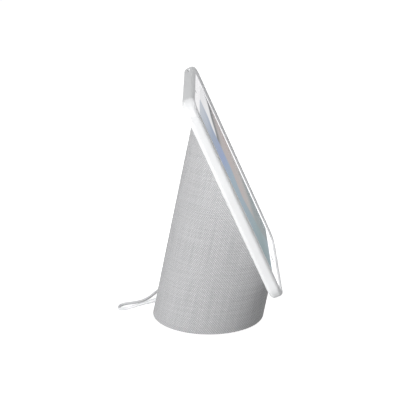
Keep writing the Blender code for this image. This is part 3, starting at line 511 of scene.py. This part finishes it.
def smoothThrough(points, steps=6):
    # a Catmull-Rom curve through the points
    points = [Vector(point) for point in points]
    ends = [2 * points[0] - points[1], *points, 2 * points[-1] - points[-2]]
    curve = []
    for before, start, end, after in zip(ends, ends[1:], ends[2:], ends[3:]):
        for step in range(steps):
            t = step / steps
            curve.append(0.5 * (2 * start + (end - before) * t
                                + (2 * before - 5 * start + 4 * end - after) * t ** 2
                                + (3 * start - before - 3 * end + after) * t ** 3))
    return curve + [points[-1]]


def makeCord(material):
    line = smoothThrough(cord["route"] + coilPoints() + cord["tail"], steps=4)
    data = bpy.data.curves.new("cord_lead", "CURVE")
    data.dimensions = "3D"
    data.bevel_depth = cord["diameter"] / 2
    data.bevel_resolution = 5
    data.use_fill_caps = True
    spline = data.splines.new("POLY")
    spline.points.add(len(line) - 1)
    for knot, point in zip(spline.points, line):
        knot.co = (*point, 1)
    spline.use_smooth = True
    piece = bpy.data.objects.new("cord_lead", data)
    bpy.context.collection.objects.link(piece)
    piece.data.materials.append(material)
    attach(piece, "speaker")
    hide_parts("power_cord", "power_cord_tail", "cord_coil")
    length = sum((end - start).length for start, end in zip(line, line[1:]))
    print(f"cord: {length:.3f} m")
    return piece, length


# a hook-and-loop strap round the coil
tie = {"at": math.radians(205), "width": 0.0080, "thick": 0.0004, "clear": 0.0001, "corner": 0.0016,
       "endRound": 0.0025}


def makeTie(material):
    half = (cord["columns"] - 1) / 2 * cord["pitch"] + cord["diameter"] / 2 + tie["clear"]
    low, high = cord["lift"] - tie["clear"], cord["lift"] + (cord["layers"] - 1) * cord["pitch"]
    high += cord["diameter"] + tie["clear"]
    piece = addPiece("coil_strap", bpy.ops.mesh.primitive_cube_add, size=1,
                     scale=(2 * half, tie["width"], high - low), location=(0, 0, (low + high) / 2))
    startEdit(piece)
    pick(piece, "FACE", lambda face: abs(face.normal.y) > 0.9)
    bpy.ops.mesh.delete(type="ONLY_FACE")
    pick(piece, "EDGE", runsAlongY)
    bpy.ops.mesh.bevel(offset=tie["corner"], segments=5, affect="EDGES")
    pick(piece, "EDGE", runsAlongY)
    bpy.ops.mesh.subdivide(number_cuts=6)
    bpy.ops.mesh.select_all(action="SELECT")
    bpy.ops.mesh.normals_make_consistent(inside=False)
    endEdit()
    applyModifier(piece, "SOLIDIFY", thickness=tie["thick"], offset=1.0)
    # the strap's loose end laps over its top
    tail = addPiece("strap_end", bpy.ops.mesh.primitive_cube_add, size=1,
                    scale=(half * 1.3, tie["width"] * 0.94, tie["thick"]),
                    location=(half * 0.2, 0, high + tie["thick"] * 1.6))
    startEdit(tail)
    pick(tail, "EDGE", lambda edge: isUpright(edge) and edge.verts[0].co.x < 0)
    bpy.ops.mesh.bevel(offset=tie["endRound"], segments=5, affect="EDGES")
    endEdit()
    bpy.ops.object.select_all(action="DESELECT")
    tail.select_set(True)
    piece.select_set(True)
    bpy.context.view_layer.objects.active = piece
    bpy.ops.object.join()
    middle = Vector((*cord["coilMiddle"], 0))
    out = Vector((math.cos(tie["at"]), math.sin(tie["at"]), 0))
    place(piece, Matrix.Translation(middle + out * cord["middleRadius"])
          @ Matrix.Rotation(tie["at"], 4, "Z"))
    smoothPiece(piece, 40, weighted=False)
    return dress(piece, "speaker", "dark_rubber", material)


adapter = {"corner": 0.0045, "seamAt": 0.0070, "seamWide": 0.0005, "seamDeep": 0.0004,
           "rimWide": 0.0018, "rimStep": 0.0004, "reliefWide": 0.0030, "reliefTip": 0.0021,
           "reliefStart": 0.0006, "reliefGroove": 0.0005, "bladeTip": 0.0004, "bladeNose": 0.0001,
           "bladeRound": 0.0002, "holeRadius": 0.0014, "holeAt": 0.0040}


def makeAdapter(plastic, cordPlastic, metal):
    low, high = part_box("adapter_shell")
    size = high - low
    shell = addPiece("adapter_body", bpy.ops.mesh.primitive_cube_add, size=1, scale=size,
                     location=(low + high) / 2)
    startEdit(shell)
    bpy.ops.mesh.select_all(action="SELECT")
    bpy.ops.mesh.bevel(offset=adapter["corner"], segments=6, affect="EDGES")
    for offset in (0, adapter["seamWide"]):
        bpy.ops.mesh.select_all(action="SELECT")
        bpy.ops.mesh.bisect(plane_co=(0, low.y + adapter["seamAt"] + offset, 0), plane_no=(0, 1, 0))
    middle = low.y + adapter["seamAt"] + adapter["seamWide"] / 2
    pick(shell, "FACE", lambda face: abs(face.calc_center_median().y - middle) < 0.0001)
    bpy.ops.mesh.inset(thickness=0, depth=-adapter["seamDeep"])
    # a shallow step round the face that meets the socket
    pick(shell, "FACE", lambda face: face.calc_center_median().y < low.y + 0.0001)
    bpy.ops.mesh.inset(thickness=adapter["rimWide"], depth=0)
    bpy.ops.mesh.inset(thickness=adapter["rimStep"], depth=-adapter["rimStep"])
    endEdit()
    smoothPiece(shell, 35)
    dress(shell, "speaker", "white_plastic", plastic, "adapter_shell")
    taperLow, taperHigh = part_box("adapter_relief")
    taper = turnedPiece("adapter_bend_relief", [(adapter["reliefWide"], 0.0)] + ribbedTaper(
        adapter["reliefStart"], taperHigh.y - taperLow.y, adapter["reliefWide"], adapter["reliefTip"],
        5, adapter["reliefGroove"]))
    place(taper, along(((taperLow.x + taperHigh.x) / 2, taperLow.y, (taperLow.z + taperHigh.z) / 2),
                       (0, 1, 0)))
    smoothPiece(taper, 50, weighted=False)
    dress(taper, "speaker", "cord_white", cordPlastic, "adapter_relief")
    blades = []
    for number in (1, 2):
        node = f"adapter_blade_{number}"
        bladeLow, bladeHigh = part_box(node)
        size = bladeHigh - bladeLow
        blade = addPiece(f"socket_blade_{number}", bpy.ops.mesh.primitive_cube_add, size=1,
                         scale=size, location=(bladeLow + bladeHigh) / 2)
        startEdit(blade)
        pick(blade, "FACE", lambda face: face.normal.y < -0.9)
        bpy.ops.mesh.inset(thickness=adapter["bladeTip"], depth=0.0)
        bpy.ops.transform.translate(value=(0, -adapter["bladeNose"], 0))
        pick(blade, "EDGE", runsAlongY)
        bpy.ops.mesh.bevel(offset=adapter["bladeRound"], segments=2, affect="EDGES")
        endEdit()
        hole = addPiece("blade_hole", bpy.ops.mesh.primitive_cylinder_add, vertices=24,
                        radius=adapter["holeRadius"], depth=0.01, rotation=(0, math.pi / 2, 0),
                        location=((bladeLow.x + bladeHigh.x) / 2, bladeLow.y + adapter["holeAt"],
                                  (bladeLow.z + bladeHigh.z) / 2))
        cutWith(blade, hole)
        smoothPiece(blade, 35, weighted=False)
        blades.append(dress(blade, "speaker", "steel", metal, node))
    return [shell, taper, *blades]


# rounded tray that holds the tablet, modelled lying on the slope and then tilted with it
tray = {"corner": 0.0178, "backRound": 0.0048, "frontRound": 0.0042, "lipWidth": 0.0053,
        "lipRound": 0.0009, "wall": 0.0015, "floor": 0.0026, "underLip": 0.0111}
# finger windows beside the keys: the room round the keys, and how much wider they are outside
windows = {"volume": {"room": 0.0020, "flare": 0.0012}, "power": {"room": 0.0003, "flare": 0.0001},
           "cornerShare": 0.45}


def makeTray(material):
    low, high = slopeBox("tray_shell")
    width, length, thick = high - low
    piece = roundedPlate("rounded_tray", width, length, tray["corner"], 0, thick)
    roundRim(piece, 0, tray["backRound"])
    roundRim(piece, thick, tray["frontRound"])
    inner = [size - 2 * tray["wall"] for size in (width, length)]
    cutWith(piece, roundedPlate("pocket", *inner, tray["corner"] - tray["wall"], tray["floor"],
                                tray["underLip"]))
    # the opening's cutter flares at its top, which rounds the inner edge of the lip
    opening = [size - 2 * tray["lipWidth"] for size in (width, length)]
    cutter = roundedPlate("opening", *opening, tray["corner"] - tray["lipWidth"],
                          tray["underLip"] - 0.001, thick - tray["lipRound"])
    startEdit(cutter)
    pick(cutter, "FACE", lambda face: face.normal.z > 0.9)
    grown, height = 0.0, thick - tray["lipRound"]
    for step in range(1, 6):
        turn = math.radians(18) * step
        nextGrown = tray["lipRound"] * (1 - math.cos(turn))
        nextHeight = thick - tray["lipRound"] * (1 - math.sin(turn))
        bpy.ops.mesh.extrude_region_move(
            TRANSFORM_OT_translate={"value": (0, 0, nextHeight - height)})
        shares = [(size + 2 * nextGrown) / (size + 2 * grown) for size in opening]
        bpy.ops.transform.resize(value=(*shares, 1), center_override=(0, 0, nextHeight))
        grown, height = nextGrown, nextHeight
    bpy.ops.mesh.extrude_region_move(TRANSFORM_OT_translate={"value": (0, 0, 0.001)})
    endEdit()
    cutWith(piece, cutter)
    # finger windows beside the keys, wider outside than inside
    upLow, upHigh = slopeBox("volume_up_key")
    downLow = slopeBox("volume_down_key")[0]
    powerLow, powerHigh = slopeBox("power_key")
    middleHeight = (upLow.z + upHigh.z) / 2
    keyHigh = upHigh.z - upLow.z
    for kind, turn, shift, side, keyLong in (
            ("volume", 0, (upHigh.y + downLow.y) / 2, inner[0] / 2, upHigh.y - downLow.y),
            ("power", 90, -(powerLow.x + powerHigh.x) / 2, inner[1] / 2, powerHigh.x - powerLow.x)):
        room, flare = windows[kind]["room"], windows[kind]["flare"]
        window, tall = keyLong + 2 * room, keyHigh + 2 * room
        cutter = roundedPlate("window", window, tall, tall * windows["cornerShare"], -0.001, 0.004, 8)
        startEdit(cutter)
        pick(cutter, "FACE", lambda face: face.normal.z > 0.9)
        bpy.ops.transform.resize(value=(1 + 2 * flare / window, 1 + 2 * flare / tall, 1))
        endEdit()
        # the cutter's Z leaves the tray through its wall, and its X runs along that wall
        place(cutter, Matrix.Rotation(math.radians(turn), 4, "Z")
              @ Matrix.Translation((side, shift, middleHeight))
              @ Matrix(((0, 0, 1), (1, 0, 0), (0, 1, 0))).to_4x4())
        cutWith(piece, cutter)
    contactLow, contactHigh = slopeBox("contact_plate")
    contactSize = contactHigh - contactLow
    pocket = roundedPlate("contact_pocket", contactSize.x + 0.0006, contactSize.y + 0.0006, 0.0004,
                          -0.001, contactHigh.z + 0.0003, 2)
    place(pocket, Matrix.Translation((0, (contactLow.y + contactHigh.y) / 2, 0)))
    cutWith(piece, pocket)
    place(piece, onSlope)
    smoothPiece(piece, 35)
    dress(piece, "tablet", "white_plastic", material, "tray_shell")


def coatRim(piece, middle, radius, material):
    # the band outside the radius gets a material of its own
    piece.data.materials.append(material)
    centre = onSlope @ Vector((0, middle, 0))
    for face in piece.data.polygons:
        off = face.center - centre
        if (off - slopeOut * off.dot(slopeOut)).length > radius:
            face.material_index = 1


def makeHomeButton(plastic, metal):
    low, high = slopeBox("home_button")
    radius, middle = (high.x - low.x) / 2, (low.y + high.y) / 2
    piece = turnedPiece("dished_home_button", [
        (radius - 0.0002, low.z), (radius, low.z + 0.0002), (radius, high.z - 0.0003),
        (radius - 0.0002, high.z), (radius - 0.0007, high.z), (radius - 0.0008, high.z - 0.0001),
        (radius - 0.0016, high.z - 0.00025), (radius - 0.0030, high.z - 0.0004),
        (0.0006, high.z - 0.0005)], 64)
    place(piece, onSlope @ Matrix.Translation((0, middle, 0)))
    smoothPiece(piece, 35, weighted=False)
    dress(piece, "home_button_body", "white_plastic", plastic, "home_button")
    coatRim(piece, middle, radius - 0.00075, metal)


def makeLens(darkGlass, rim):
    low, high = slopeBox("camera_lens")
    radius, middle = (high.x - low.x) / 2, (low.y + high.y) / 2
    piece = turnedPiece("front_camera_lens", [
        (radius, low.z), (radius, high.z - 0.0001), (radius - 0.0001, high.z),
        (radius - 0.0005, high.z), (radius - 0.0006, high.z - 0.00025),
        (radius - 0.0009, high.z - 0.0002), (radius * 0.35, high.z - 0.0001),
        (0.0002, high.z - 0.00008)], 40)
    place(piece, onSlope @ Matrix.Translation((0, middle, 0)))
    smoothPiece(piece, 35, weighted=False)
    dress(piece, "tablet", "black_plastic", darkGlass, "camera_lens")
    coatRim(piece, middle, radius - 0.0006, rim)


# the dock's contact block and its pins
contacts = {"count": 6, "pitch": 0.0036, "pinRadius": 0.0007, "pinRise": 0.0005, "pitRoom": 0.0003,
            "corner": 0.0006, "edgeRound": 0.0003}


def makeContacts(black, gold):
    low, high = slopeBox("pin_block")
    middle = (low + high) / 2
    blockTop = high.z - contacts["pinRise"]
    block = roundedPlate("contact_block", high.x - low.x, high.y - low.y, contacts["corner"], low.z,
                         blockTop, 3)
    roundRim(block, blockTop, contacts["edgeRound"], 2)
    across = [(number - (contacts["count"] - 1) / 2) * contacts["pitch"]
              for number in range(contacts["count"])]
    radius = contacts["pinRadius"]
    for number, x in enumerate(across, 1):
        pit = addPiece("pit", bpy.ops.mesh.primitive_cylinder_add, vertices=20,
                       radius=radius + contacts["pitRoom"], depth=0.0012, location=(x, 0, blockTop))
        cutWith(block, pit)
        pin = turnedPiece(f"spring_pin_{number}", [
            (radius, blockTop - 0.0005), (radius, blockTop + 0.0002), (radius * 0.85, high.z - 0.0001),
            (radius * 0.45, high.z)], 20)
        place(pin, onSlope @ Matrix.Translation((x, middle.y, 0)))
        smoothPiece(pin, 35, weighted=False)
        dress(pin, "speaker", "contact_gold", gold)
    place(block, onSlope @ Matrix.Translation((0, middle.y, 0)))
    smoothPiece(block, 35, weighted=False)
    dress(block, "speaker", "black_plastic", black, "pin_block")


# finishes
# the two glow colours are painted light on the printed white border: dim at its top end, bright at its
# bottom end
screen = {"sideBorder": 0.01085, "endBorder": 0.02145, "topBorderPaintedGlow": (0.40, 0.395, 0.40),
          "bottomBorderPaintedGlow": (0.76, 0.755, 0.76)}


def coverGlass():
    # white border printed behind the glass, round an abstract picture of soft bands; the border also
    # carries painted glow, dimmer at the top end and brighter at the bottom end, as if lit
    glassHigh = slopeBox("cover_glass")[1]
    halfWidth = glassHigh.x - screen["sideBorder"]
    halfLength = glassHigh.y - screen["endBorder"]
    finish = Finish("cover_glass", Roughness=0.08, IOR=1.12, Emission_Strength=1.0)
    flat = finish.place((slopeAngle, 0, 0), tuple(slopeStart))
    x, y, _ = finish.parts(flat)
    shown = (halfWidth - abs(x)).over(0) * (halfLength - abs(y)).over(0)
    across, down = x / (2 * halfWidth) + 0.5, 0.5 - y / (2 * halfLength)
    drift = finish.noise(finish.stretched(flat, (9, 14, 1)), 1.0, 1.5) - 0.5
    sky = finish.ramp(down + drift * 0.25, (0.0, (0.40, 0.43, 0.47)),
                      (0.16, (0.18, 0.23, 0.32)), (0.30, (0.14, 0.20, 0.36)),
                      (0.45, (0.16, 0.24, 0.30)), (0.65, (0.15, 0.22, 0.27)),
                      (0.85, (0.11, 0.18, 0.19)), (1.0, (0.17, 0.23, 0.26)))
    bands = finish.ramp(down + across * 0.35 - drift * 0.3, (0.38, (0.62, 0.62, 0.63)),
                        (0.42, (0.06, 0.065, 0.07)), (0.44, (0.06, 0.065, 0.07)),
                        (0.52, (0.27, 0.245, 0.24)), (0.68, (0.29, 0.24, 0.23)),
                        (0.86, (0.27, 0.25, 0.24)), (1.0, (0.13, 0.16, 0.165)))
    edge = across - 0.45 + drift * 0.5 - abs(down - 0.45) ** 2 * 0.7
    picture = finish.blend(edge.eased(-0.04, 0.04), sky, bands)
    speckle = finish.noise(flat, 2500, 2)
    white = finish.blend(speckle, (0.82, 0.82, 0.83), (0.87, 0.87, 0.88))
    border = finish.blend(shown, white, (0.015, 0.015, 0.017))
    # painted light: the printed border glows, from dim at the top end to bright at the bottom end
    paintedBorderGlow = finish.blend(down, screen["topBorderPaintedGlow"], screen["bottomBorderPaintedGlow"])
    lit = finish.blend(shown, paintedBorderGlow, picture)
    return finish.set(Base_Color=border, Emission_Color=lit)


def mouldedPlastic(name, colour, roughness, grain=9000.0, depth=0.00002, spread=0.04, **constants):
    # fine spark grain, with a slow change of tone and gloss as on a moulded skin
    finish = Finish(name, **constants)
    at = finish.place()
    fine, slow = finish.noise(at, grain, 2.0), finish.noise(at, 25.0, 3.0)
    darker = tuple(value * (1 - spread) for value in colour)
    tone = finish.blend(slow.eased(0.3, 0.7), darker, colour)
    finish.relief(fine, depth, 0.4)
    return finish.set(Base_Color=tone, Roughness=fine * 0.10 + slow * 0.08 + (roughness - 0.09))


def brushedMetal(name, colour, roughness, direction=(1, 40, 40), Metallic=1.0):
    finish = Finish(name, Metallic=Metallic)
    at = finish.place()
    lines = finish.noise(finish.stretched(at, direction), 120.0, 4.0, 0.7)
    stain = finish.noise(at, 60.0, 3.0)
    tone = finish.blend(stain.eased(0.35, 0.75), tuple(value * 0.86 for value in colour), colour)
    finish.relief(lines, 0.00001, 0.5)
    return finish.set(Base_Color=tone, Roughness=lines * 0.22 + (roughness - 0.11))


def rubber():
    finish = Finish("dark_rubber", Specular_IOR_Level=0.35)
    at = finish.place()
    dust, fine = finish.noise(at, 180.0, 4.0), finish.noise(at, 4000.0, 2.0)
    tone = finish.blend(dust.eased(0.45, 0.8), (0.028, 0.028, 0.031), (0.060, 0.060, 0.064))
    finish.relief(fine, 0.00004, 0.5)
    return finish.set(Base_Color=tone, Roughness=dust * 0.2 + 0.68)


def circuitBoard():
    # solder mask over copper tracks, with tinned pads and dark chips
    finish = Finish("circuit_board")
    at = finish.place((slopeAngle, 0, 0))
    tracks = finish.node("TexBrick", {"offset": 0.35}, {
        "Vector": at, "Scale": 420.0, "Mortar Size": 0.08, "Color1": (0.02, 0.16, 0.08, 1),
        "Color2": (0.015, 0.12, 0.06, 1), "Mortar": (0.05, 0.30, 0.14, 1)})
    cells = finish.node("TexVoronoi", {"distance": "CHEBYCHEV"}, {"Vector": at, "Scale": 260.0})
    pads = 1 - cells.eased(0.10, 0.13)
    chips = finish.node("TexVoronoi", {"distance": "CHEBYCHEV"}, {"Vector": at, "Scale": 70.0})
    chip = 1 - chips.eased(0.16, 0.18)
    tone = finish.blend(pads, tracks, (0.62, 0.62, 0.60))
    tone = finish.blend(chip, tone, (0.02, 0.02, 0.022))
    finish.relief(chip + pads * 0.2, 0.0003)
    return finish.set(Base_Color=tone, Roughness=0.55 - pads * 0.2)


def conePaper():
    finish = Finish("cone_paper", Specular_IOR_Level=0.2)
    fibres = finish.noise(finish.place(), 900.0, 5.0, 0.7)
    tone = finish.blend(fibres, (0.035, 0.034, 0.032), (0.14, 0.135, 0.13))
    finish.relief(fibres, 0.0001, 0.7)
    return finish.set(Base_Color=tone, Roughness=fibres * 0.2 + 0.75)


def displayStack():
    # the lit panel behind the glass: fine rows of cells under a dark filter
    finish = Finish("display_panel", Roughness=0.3)
    x, y, _ = finish.parts(finish.place((slopeAngle, 0, 0)))
    rows = (x * 30000.0).sine().largest((y * 10000.0).sine())
    return finish.set(Base_Color=finish.blend(rows.eased(0, 1), (0.02, 0.03, 0.04),
                                              (0.05, 0.07, 0.09)))


def strapCloth():
    finish = Finish("strap_cloth", Specular_IOR_Level=0.2)
    at = finish.place()
    loops = finish.noise(at, 2600.0, 4.0, 0.7)
    finish.relief(loops, 0.0003, 0.8)
    return finish.set(Base_Color=finish.blend(loops, (0.02, 0.02, 0.022), (0.09, 0.09, 0.095)),
                      Roughness=loops * 0.1 + 0.85)


def cordJacket():
    # soft vinyl with a faint lengthwise wander of tone and a satin skin
    finish = Finish("cord_jacket", Specular_IOR_Level=0.4)
    at = finish.place()
    slow, fine = finish.noise(at, 70.0, 3.0), finish.noise(at, 3500.0, 2.0)
    tone = finish.blend(slow.eased(0.3, 0.7), (0.70, 0.71, 0.72), (0.80, 0.80, 0.81))
    finish.relief(fine, 0.00004, 0.5)
    return finish.set(Base_Color=tone, Roughness=slow * 0.12 + 0.38)


print("making materials")
cloth = wovenCloth()
trayPlastic = mouldedPlastic("tray_plastic", (0.785, 0.79, 0.795), 0.34, spread=0.03)
whitePlastic = mouldedPlastic("adapter_plastic", (0.80, 0.80, 0.80), 0.36, grain=5000.0,
                              depth=0.00003)
greyPlastic = mouldedPlastic("grey_plastic", (0.27, 0.28, 0.29), 0.55, grain=4000.0, depth=0.00005)
blackPlastic = mouldedPlastic("black_plastic", (0.024, 0.024, 0.027), 0.5, grain=4000.0,
                              depth=0.00005, spread=0.3)
buttonPlastic = mouldedPlastic("button_plastic", (0.84, 0.84, 0.85), 0.16, depth=0.000005)
lensGlass = mouldedPlastic("lens_glass", (0.012, 0.014, 0.020), 0.10, depth=0.000002, spread=0.5)
jacket = cordJacket()
bladeMetal = brushedMetal("plated_blade", (0.72, 0.72, 0.70), 0.28, (40, 1, 40))
steel = brushedMetal("zinc_steel", (0.60, 0.61, 0.62), 0.36)
aluminium = brushedMetal("brushed_aluminium", (0.78, 0.79, 0.80), 0.32)
silver = brushedMetal("anodised_silver", (0.86, 0.865, 0.87), 0.42, (30, 30, 30), Metallic=0.55)
nickel = brushedMetal("magnet_nickel", (0.55, 0.54, 0.52), 0.22, (8, 8, 8))
gold = brushedMetal("contact_gold", (0.86, 0.64, 0.26), 0.26, (8, 8, 8))
rubberSkin = rubber()
boardGreen = circuitBoard()

# what each node that is kept is made of; the rim gasket is a real part, and its dark rubber also stands
# as a painted shadow line between the cloth and the tray
finishes = {
    "rubber": rubberSkin, "grey": greyPlastic, "black": blackPlastic, "steel": steel,
    "silver": silver, "white": trayPlastic, "aluminium": aluminium, "nickel": nickel,
    "board": boardGreen, "gold": gold}
keptNodes = {
    "rubber": ["foot_pad", "rim_gasket", "woofer_surround"],
    "grey": ["base_plate", "grille_tube", "baffle_plate"],
    "black": ["dock_face", "woofer_basket", "tweeter_left", "tweeter_right", "cord_terminal",
              "tablet_battery"],
    "steel": ["processor_shield", "woofer_magnet", "tweeter_bracket", "keeper_plate"]
             + [f"{seat}_screw_{number}" for seat in ("base", "baffle") for number in range(1, 5)],
    "silver": ["tablet_back", "volume_up_key", "volume_down_key"], "white": ["power_key"],
    "aluminium": ["heat_sink", "power_capacitor_1", "power_capacitor_2"]
                 + [f"chassis_post_{number}" for number in range(1, 5)],
    "nickel": [f"dock_magnet_{number}" for number in range(1, 5)],
    "board": ["main_board", "power_board", "mic_board", "tablet_board"],
    "gold": ["contact_plate"]}
for kind, names in keptNodes.items():
    for name in names:
        frame["nodes"][name].data.materials.clear()
        frame["nodes"][name].data.materials.append(finishes[kind])
for name, material in (("woofer_cone", conePaper()), ("cover_glass", coverGlass()),
                       ("display_panel", displayStack())):
    frame["nodes"][name].data.materials.clear()
    frame["nodes"][name].data.materials.append(material)

print("making the cord and its adapter")
cordPiece, cordLength = makeCord(jacket)
strap = makeTie(strapCloth())
adapterPieces = makeAdapter(whitePlastic, jacket, bladeMetal)
makeRelief(jacket)

print("making the woven sleeve")
makeSleeve(cloth)

print("making the tray and its small pieces")
makeTray(trayPlastic)
makeHomeButton(buttonPlastic, silver)
makeLens(lensGlass, blackPlastic)
makeContacts(blackPlastic, gold)

# camera, soft light and a pale floor
print("setting up the camera and lights")
view = {"from": (-1.1172, 0.00685, 0.5506), "to": (0, 0.00938, 0.14247), "lens": 94.5, "sensor": 36}
bpy.ops.object.camera_add(location=view["from"])
camera = bpy.context.active_object
camera.rotation_euler = (Vector(view["to"]) - camera.location).to_track_quat("-Z", "Y").to_euler()
camera.data.sensor_width = view["sensor"]
camera.data.lens = view["lens"]
bpy.context.scene.camera = camera

lights = {"key": ((-1.45, 1.12, 0.62), 1.2, 39.0), "fill": ((-0.8, -1.3, 1.6), 1.6, 1.5),
          "front": ((1.0, -1.1, 1.9), 1.4, 26.0)}
for name, (location, size, power) in lights.items():
    bpy.ops.object.light_add(type="AREA", location=location)
    light = bpy.context.active_object
    light.name = name + "_light"
    light.data.size = size
    light.data.energy = power
    light.rotation_euler = (Vector((0, 0, 0.12)) - light.location).to_track_quat("-Z", "Y").to_euler()

# the room is seen as a soft white, but sheds only a fifth of that light
studio = {"seen": 1.0, "shed": 0.21, "floorGlow": 0.80}
world = bpy.data.worlds.new("studio")
bpy.context.scene.world = world
world.use_nodes = True
sky = world.node_tree.nodes["Background"]
sky.inputs["Color"].default_value = (0.97, 0.985, 1.0, 1)
seenDirectly = world.node_tree.nodes.new("ShaderNodeLightPath").outputs["Is Camera Ray"]
skyStrength = world.node_tree.nodes.new("ShaderNodeMapRange")
skyStrength.inputs["To Min"].default_value = studio["shed"]
skyStrength.inputs["To Max"].default_value = studio["seen"]
world.node_tree.links.new(seenDirectly, skyStrength.inputs["Value"])
world.node_tree.links.new(skyStrength.outputs["Result"], sky.inputs["Strength"])
bpy.context.scene.view_settings.view_transform = "Standard"

floor = addPiece("studio_floor", bpy.ops.mesh.primitive_plane_add, size=12)
floorFinish = Finish("pale_floor", Roughness=0.9, Specular_IOR_Level=0.1,
                     Base_Color=(0.62, 0.62, 0.62, 1), Emission_Color=(1, 1, 1, 1))
floorFinish.set(Emission_Strength=floorFinish.node("LightPath") * studio["floorGlow"])
floor.data.materials.append(floorFinish.material)
